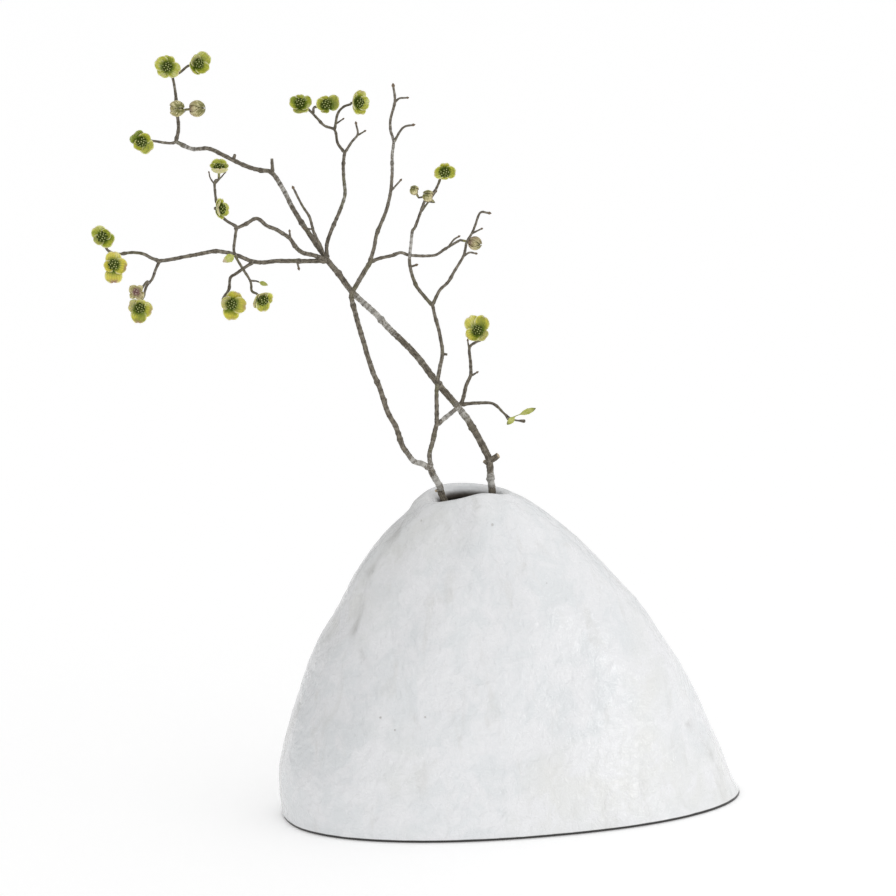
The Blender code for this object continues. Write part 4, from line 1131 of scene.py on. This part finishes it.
def cupPoint(distance, bend, layer):
    curve = math.radians(bend) / 10
    angle = curve * distance
    radius = math.sin(angle) / curve - math.sin(angle) * layer
    return radius, (1 - math.cos(angle)) / curve + math.cos(angle) * layer, angle


def growBract(skin, base, axes, direction, length, width, bend, layer, shape, rng, **tints):
    # both faces of a thin cupped bract, closed round its edge
    rows, columns = shape["rows"], shape["columns"]
    phase = rng.uniform(0, 6.28)
    lean = rng.uniform(-shape["lean"], shape["lean"])
    sheets = []
    for side in (1, -1):
        sheet = []
        for i in range(rows + 1):
            share = i / rows
            half = readCurve(shape["outline"], share) * width
            line = []
            for j in range(columns + 1):
                v = -1 + 2 * j / columns
                tip = shape["notch"] * hump(v, shape["notchWidth"])
                tip += shape["shoulder"] * abs(v) ** 3
                reach = shape["root"] + length * (share - tip * share ** 4)
                lift = math.copysign(shape["curl"] * share ** 3 * v * v, layer)
                wave = share ** 2 * v * v * math.sin(phase + 5 * share + 2.2 * v)
                wave += 0.6 * share ** 3 * math.sin(phase * 2 + 4 * v)
                lift += shape["wave"] * wave
                fade = (1 - share * 0.5) * min(1, share * 4)
                lift -= shape["vein"] * math.cos(v * shape["veins"]) * fade
                edge = min(1, (1 - abs(v)) * columns / 2, (1 - share) * rows)
                thick = shape["thick"] / 2 * (shape["rimShare"] + (1 - shape["rimShare"]) * edge)
                radius, height, angle = cupPoint(reach, bend, layer + lift)
                off = (v + lean * share * share) * half / max(radius, 0.3)
                turn = math.radians(direction) + off
                out = Vector((math.cos(turn), math.sin(turn), 0))
                normal = up * math.cos(angle) - out * math.sin(angle)
                point = base + axes @ (out * radius + up * height + normal * thick * side)
                under = float(side < 0)
                line.append(skin.dot(point, reach=share, across=v, under=under, stalk=0.0, **tints))
            sheet.append(line)
        sheets.append(sheet)
    skin.blade(*sheets)


def growStalk(skin, key, **tints):
    base, axes = baseOf(key)
    left = stalkShare(key)

    def dot(point, stalk):
        return skin.dot(base + axes @ point, reach=0.0, across=0.0, under=1.0, stalk=stalk, **tints)

    profile = [(h * left if h < 0 else h, radius) for h, radius in stalkShape["profile"]]
    rings = []
    for height, radius in profile:
        stalk = share01(-height, *stalkShape["fade"])
        ring = []
        for turn, out in around(stalkShape["sides"]):
            wide = radius * (1 + stalkShape["square"] * math.cos(4 * turn))
            ring.append(dot(out * wide + up * height, stalk))
        rings.append(ring)
    skin.tube(rings, *[dot(up * height, 1.0) for height, _ in (profile[0], profile[-1])])
    return base, axes


def growHead(skin, base, axes, radius, rng):
    # a bed with closed florets standing on it in a spiral
    shape = headShape
    end = math.radians(shape["end"])
    seat = up * shape["seat"]
    centre = up * (shape["seat"] + radius * shape["lift"])
    bed = radius - shape["under"]

    def dot(point, pale=0.0):
        return skin.dot(base + axes @ point, pale=pale)

    def onBed(out, polar):
        return centre + out * bed * math.sin(polar) + up * bed * shape["flat"] * math.cos(polar)

    foot = shape["foot"] * min(1, 0.6 * radius / shape["foot"])
    rings = [[dot(out * foot + seat) for _, out in around(shape["bedSides"])]]
    for k in range(shape["bedRings"]):
        polar = end * (1 - k / shape["bedRings"])
        rings.append([dot(onBed(out, polar)) for _, out in around(shape["bedSides"])])
    skin.tube(rings, dot(seat), dot(centre + up * bed * shape["flat"]))

    lobes, lobe = shape["floretLobes"]
    tipHeight, tipPale = shape["floretTip"]
    count = max(7, round(shape["florets"] * (radius / shape["radius"]) ** 2))
    for k in range(count):
        share = (k + 0.5) / count
        polar = math.acos(1 - share * (1 - math.cos(end * 0.95)))
        turn = k * shape["spiral"] + rng.uniform(-shape["strewn"], shape["strewn"])
        out = Vector((math.cos(turn), math.sin(turn), 0))
        foot = onBed(out, polar)
        heading = (out * math.sin(polar) * shape["flat"] + up * math.cos(polar)).normalized()
        tilt = Vector([rng.uniform(-shape["tilt"], shape["tilt"]) for _ in range(3)])
        heading = (heading + tilt).normalized()
        side = heading.orthogonal().normalized()
        other = heading.cross(side)
        size = shape["floretRadius"] * rng.uniform(*shape["floretSizes"])
        # the outermost florets are still dark
        young = share01(share, *shape["young"])
        rings = []
        for wide, high, pale in shape["floret"]:
            ring = []
            for turn, _ in around(shape["floretSides"]):
                reach = size * wide * (1 + lobe * math.cos(lobes * turn))
                spot = (side * math.cos(turn) + other * math.sin(turn)) * reach
                ring.append(dot(foot + heading * high + spot, pale * young))
            rings.append(ring)
        first = dot(foot + heading * shape["floretFoot"])
        skin.tube(rings, first, dot(foot + heading * tipHeight, tipPale))


def makeBloom(number, materials):
    cup, bracts, yellow, blush, pale = blooms[number][3:]
    rng = random.Random(int(number))
    skin = Skin()
    base, axes = growStalk(skin, "bloom_" + number, yellow=yellow, blush=0.0, pale=0.0)
    for i, (direction, length) in enumerate(bracts):
        layer = bractShape["layer"] * (1 if i % 2 else -1)
        width = min(bractShape["width"], bractShape["stoutness"] * length)
        length *= reachShare.get(number, 1)
        growBract(
            skin, base, axes, direction, length, width, cup, layer, bractShape, rng,
            yellow=yellow, blush=float(blush[i]), pale=float(pale[i]))
    skin.make(f"bloom{number}Bracts", materials["bract"], "bract_green", f"bloom_{number}_bracts")
    skin = Skin()
    growHead(skin, base, axes, headShape["radius"] - headShape["inset"], rng)
    skin.make(f"bloom{number}Head", materials["head"], "head_green", f"bloom_{number}_head")


def makeBud(number, materials):
    bend, length, width, core, turn, browns = buds[number][4:]
    rng = random.Random(50 + int(number))
    skin = Skin()
    isOpen = bend < 90
    if not isOpen:
        length = max(length, 10 * scaleShape["closed"] / bend - scaleShape["root"])
    base, axes = growStalk(skin, "bud_" + number, brown=browns[0], open=float(isOpen))
    for i, (direction, wider) in enumerate(scaleShape["pairs"]):
        layer = scaleShape["layer"] * (1 if i % 2 else -1)
        growBract(
            skin, base, axes, direction + turn, length, width * wider, bend, layer, scaleShape,
            rng, brown=float(browns[i]), open=float(isOpen))
    skin.make(f"bud{number}Scales", materials["scale"], "bud_scale_tan", f"bud_{number}_scales")
    skin = Skin()
    growHead(skin, base, axes, core - headShape["budInset"], rng)
    heart, slot = ("purple", "head_purple") if isOpen else ("heart", "head_green")
    skin.make(f"bud{number}Head", materials[heart], slot, f"bud_{number}_head")


leafShape = {
    "rows": 18,
    "columns": 12,
    "thick": 0.5,
    "rimShare": 0.4,
    "fold": 0.25,
    "edge": 0.3,
    "outline": (
        (0, 0.04), (0.12, 0.2), (0.25, 0.36), (0.5, 0.48), (0.78, 0.34), (0.92, 0.15), (1, 0.02),
    ),
    "vein": 0.12,
    "veins": 5,
    "tooth": 0.03,
    "teeth": 40,
    "tips": {"01": 0.9, "02": 0.2, "03": -0.7},  # pinkish tips, or dark ones below 0
}


def growLeaf(skin, leaf, tip):
    start, end, width, stalk, arch = leaf
    start, end = seen(start), seen(end)
    length = (end - start).length
    heading = (end - start).normalized()
    across = heading.cross(towardEye(start)).normalized()
    normal = across.cross(heading)
    shape = leafShape
    rows, columns = shape["rows"], shape["columns"]
    sheets = []
    for side in (1, -1):
        sheet = []
        for i in range(rows + 1):
            share = i / rows
            blade = max(0, (share - stalk) / (1 - stalk))
            half = shape["edge"] + (width * readCurve(shape["outline"], blade) if blade > 0 else 0)
            half *= 1 + shape["tooth"] * math.sin(blade * shape["teeth"]) * (blade > 0.15)
            line = []
            for j in range(columns + 1):
                v = -1 + 2 * j / columns
                lift = arch * math.sin(math.pi * share) + shape["fold"] * half * v * v
                vein = abs(math.sin((blade * shape["veins"] - abs(v)) * math.pi)) * (blade > 0)
                lift -= shape["vein"] * vein * abs(v)
                edge = min(1, (1 - abs(v)) * 6)
                thick = shape["thick"] / 2 * (shape["rimShare"] + (1 - shape["rimShare"]) * edge)
                point = start + heading * length * share + across * v * half
                point += normal * (lift + thick * side)
                line.append(skin.dot(point, reach=blade, across=v, under=float(side < 0), tip=tip))
            sheet.append(line)
        sheets.append(sheet)
    skin.blade(*sheets)


def makeLeaf(number, material):
    skin = Skin()
    for leaf in leaves[number]:
        growLeaf(skin, leaf, leafShape["tips"][number])
    skin.make(f"leaf{number}", material, "young_leaf_green", f"leaf_{number}")


bloomLook = {
    "centre": (0.13, 0.22, 0.015),
    "green": (0.47, 0.52, 0.055),
    "yellow": (0.80, 0.70, 0.085),
    "rim": (0.94, 0.92, 0.55),
    "under": (0.62, 0.58, 0.32),
    "pink": (0.42, 0.25, 0.17),
    "stalk": (0.25, 0.24, 0.09),
    "vein": (0.20, 0.29, 0.02),
    "bed": (0.034, 0.05, 0.003),
    "floret": (0.098, 0.132, 0.018),
    "floretTip": (0.47, 0.50, 0.21),
    # the closed buds' head and its tips, made lighter as painted light in the shaded opening
    # between the scales
    "heart": (0.22, 0.26, 0.06),
    "heartTip": (0.36, 0.40, 0.13),
    "purple": (0.24, 0.14, 0.125),
    "purpleTip": (0.50, 0.40, 0.36),
    "scaleOlive": (0.36, 0.32, 0.10),
    "scaleTan": (0.86, 0.79, 0.45),
    "scaleGreen": (0.14, 0.135, 0.02),
    "scaleBrown": (0.20, 0.13, 0.07),
    "scaleFoot": (0.33, 0.215, 0.165),
    "scaleTip": (0.13, 0.13, 0.02),
    "scaleEdge": (0.70, 0.65, 0.38),
    "leaf": (0.40, 0.45, 0.06),
    "leafPale": (0.58, 0.59, 0.20),
    "leafTip": (0.60, 0.48, 0.34),
    "leafDark": (0.16, 0.17, 0.05),
}


def makeBractSkin():
    look = Look("bractGreen", bloomLook, "green")
    across, reach = look.painted("across"), look.painted("reach")
    coords = look.place()
    mottle = coords.cloud(420, 4, 0.6)
    patch = coords.cloud(130, 3, 0.5)
    inner = reach + mottle * 0.3
    look.cover(look.painted("yellow"), "yellow")
    # broad patches run greener and paler over each bract
    look.cover(patch.between(0.52, 0.68, 0.0, 0.5), "rim")
    look.cover(patch.between(0.48, 0.34, 0.0, 0.5), "centre")
    look.cover(inner.between(0.82, 0.36), "centre")
    # parallel veins, strongest near the middle of the bloom
    wave = (across * 24.0).calc("SINE")
    vein = (wave + mottle * 0.6).between(0.7, 1.2) * reach.between(1.0, 0.3, 0.08, 0.6)
    look.cover(vein * patch.between(0.35, 0.6, 0.3, 1.0), "vein")
    # a pale rim
    side = abs(across).between(0.72, 1.0) * reach.between(0.3, 0.7)
    rim = side.atLeast(reach.between(0.86, 1.0)) * mottle.between(0.3, 0.6, 0.35, 0.9)
    look.cover(rim, "rim")
    # some bracts are paler or darker than the rest, and all are pale underneath
    pale = look.painted("pale") * inner.between(0.3, 0.75)
    look.cover(pale.between(0.0, -1.0), "centre")
    look.cover(pale.atLeast(look.painted("under") * 0.75), "under")
    # the blush keeps to the middle of a tip, where a dark point is left on every bract
    middle = abs(across)
    blush = look.painted("blush") * inner.between(0.78, 1.15) * middle.between(0.75, 0.2)
    point = reach.between(0.9, 1.0, 0.0, 0.7) * middle.between(0.3, 0.08)
    look.cover(blush.atLeast(point), "pink")
    look.cover(look.painted("stalk"), "stalk")
    look.inputs["Specular IOR Level"].default_value = 0.5
    look.inputs["Subsurface Weight"].default_value = 0.3
    look.inputs["Subsurface Scale"].default_value = 0.0008
    look.inputs["Subsurface Radius"].default_value = (0.8, 1.0, 0.25)
    height = wave * -0.4 + mottle
    return look.finish(mottle.between(0.3, 0.7, 0.36, 0.58), height.relief(0.00012))


def makeHeadSkin(name, bed, floret, tip):
    look = Look(name, bloomLook, bed)
    mottle = look.place().cloud(900, 3, 0.6)
    look.cover(mottle.between(0.35, 0.65), floret)
    shade = look.painted("pale") + mottle * 0.3
    look.cover(shade.between(0.55, 1.0), tip)
    look.inputs["Specular IOR Level"].default_value = 0.08
    return look.finish(mottle.between(0.3, 0.7, 0.45, 0.7), mottle.relief(0.0001))


def makeScaleSkin():
    look = Look("budScaleTan", bloomLook, "scaleOlive")
    across, reach = look.painted("across"), look.painted("reach")
    mottle = look.place().cloud(380, 4, 0.65)
    coords = across.into("CombineXYZ", {1: reach * 1.5})
    streaks = coords.stretched(9, 1.5, 1).cloud(1.0, 4, 0.6)
    look.cover(mottle.between(0.38, 0.6), "scaleTan")
    # from a pinkish foot over cream to dark tips, which the open bud does not have
    along = reach + (streaks - 0.5) * 1.3
    look.cover(along.between(0.62, 0.2, 0.0, 0.95), "scaleFoot")
    tips = along.between(0.6, 0.9) * look.painted("open").between(1.0, 0.0)
    look.cover(tips, "scaleTip")
    # a scale may also be brown, or green where its value is below 0
    broken = streaks.between(0.3, 0.62, 0.35, 1.0)
    brown = look.painted("brown")
    look.cover((broken * brown).atLeast(0.0), "scaleBrown")
    look.cover(broken * brown.between(0.0, -1.0), "scaleGreen")
    edge = abs(across).between(0.8, 1.0).atLeast(reach.between(0.9, 1.0)) * 0.7
    look.cover(edge, "scaleEdge")
    look.cover(look.painted("stalk") * 0.9, "stalk")
    height = streaks + mottle * 0.6
    return look.finish(mottle.between(0.3, 0.7, 0.5, 0.75), height.relief(0.00018))


def makeLeafSkin():
    look = Look("youngLeafGreen", bloomLook, "leaf")
    across, reach = look.painted("across"), look.painted("reach")
    mottle = look.place().cloud(300, 4, 0.6)
    look.cover(mottle.between(0.35, 0.65), "leafPale")
    # side veins run forward from the midrib
    wave = ((reach * 5.0 - abs(across)) * 6.283).calc("SINE")
    veins = abs(across).between(0.16, 0.04).atLeast(wave.between(0.8, 1.0) * 0.4)
    look.cover(veins, "leafPale")
    look.cover(look.painted("under") * 0.4, "under")
    tip = (reach + mottle * 0.2).between(0.75, 1.05) * look.painted("tip")
    look.cover(tip.atLeast(0.0), "leafTip")
    look.cover(tip.between(0.0, -1.0), "leafDark")
    height = veins * 0.6 + mottle * 0.4
    return look.finish(mottle.between(0.3, 0.7, 0.4, 0.6), height.relief(0.0002))


barkMaterial = makeBark()
makeBranch("right", rightTwigs, 3, barkMaterial)
makeBranch("left", leftTwigs, 8, barkMaterial)
print("branches: two, with their twigs")

bloomSkins = {
    "bract": makeBractSkin(),
    "head": makeHeadSkin("headGreen", "bed", "floret", "floretTip"),
    "heart": makeHeadSkin("budHeart", "heart", "heart", "heartTip"),
    "purple": makeHeadSkin("headPurple", "purple", "purple", "purpleTip"),
    "scale": makeScaleSkin(),
}
for number in blooms:
    makeBloom(number, bloomSkins)
print("blooms:", len(blooms))
for number in buds:
    makeBud(number, bloomSkins)
print("buds:", len(buds))
leafMaterial = makeLeafSkin()
for number in leaves:
    makeLeaf(number, leafMaterial)
print("young leaves:", len(leaves))

print("done")
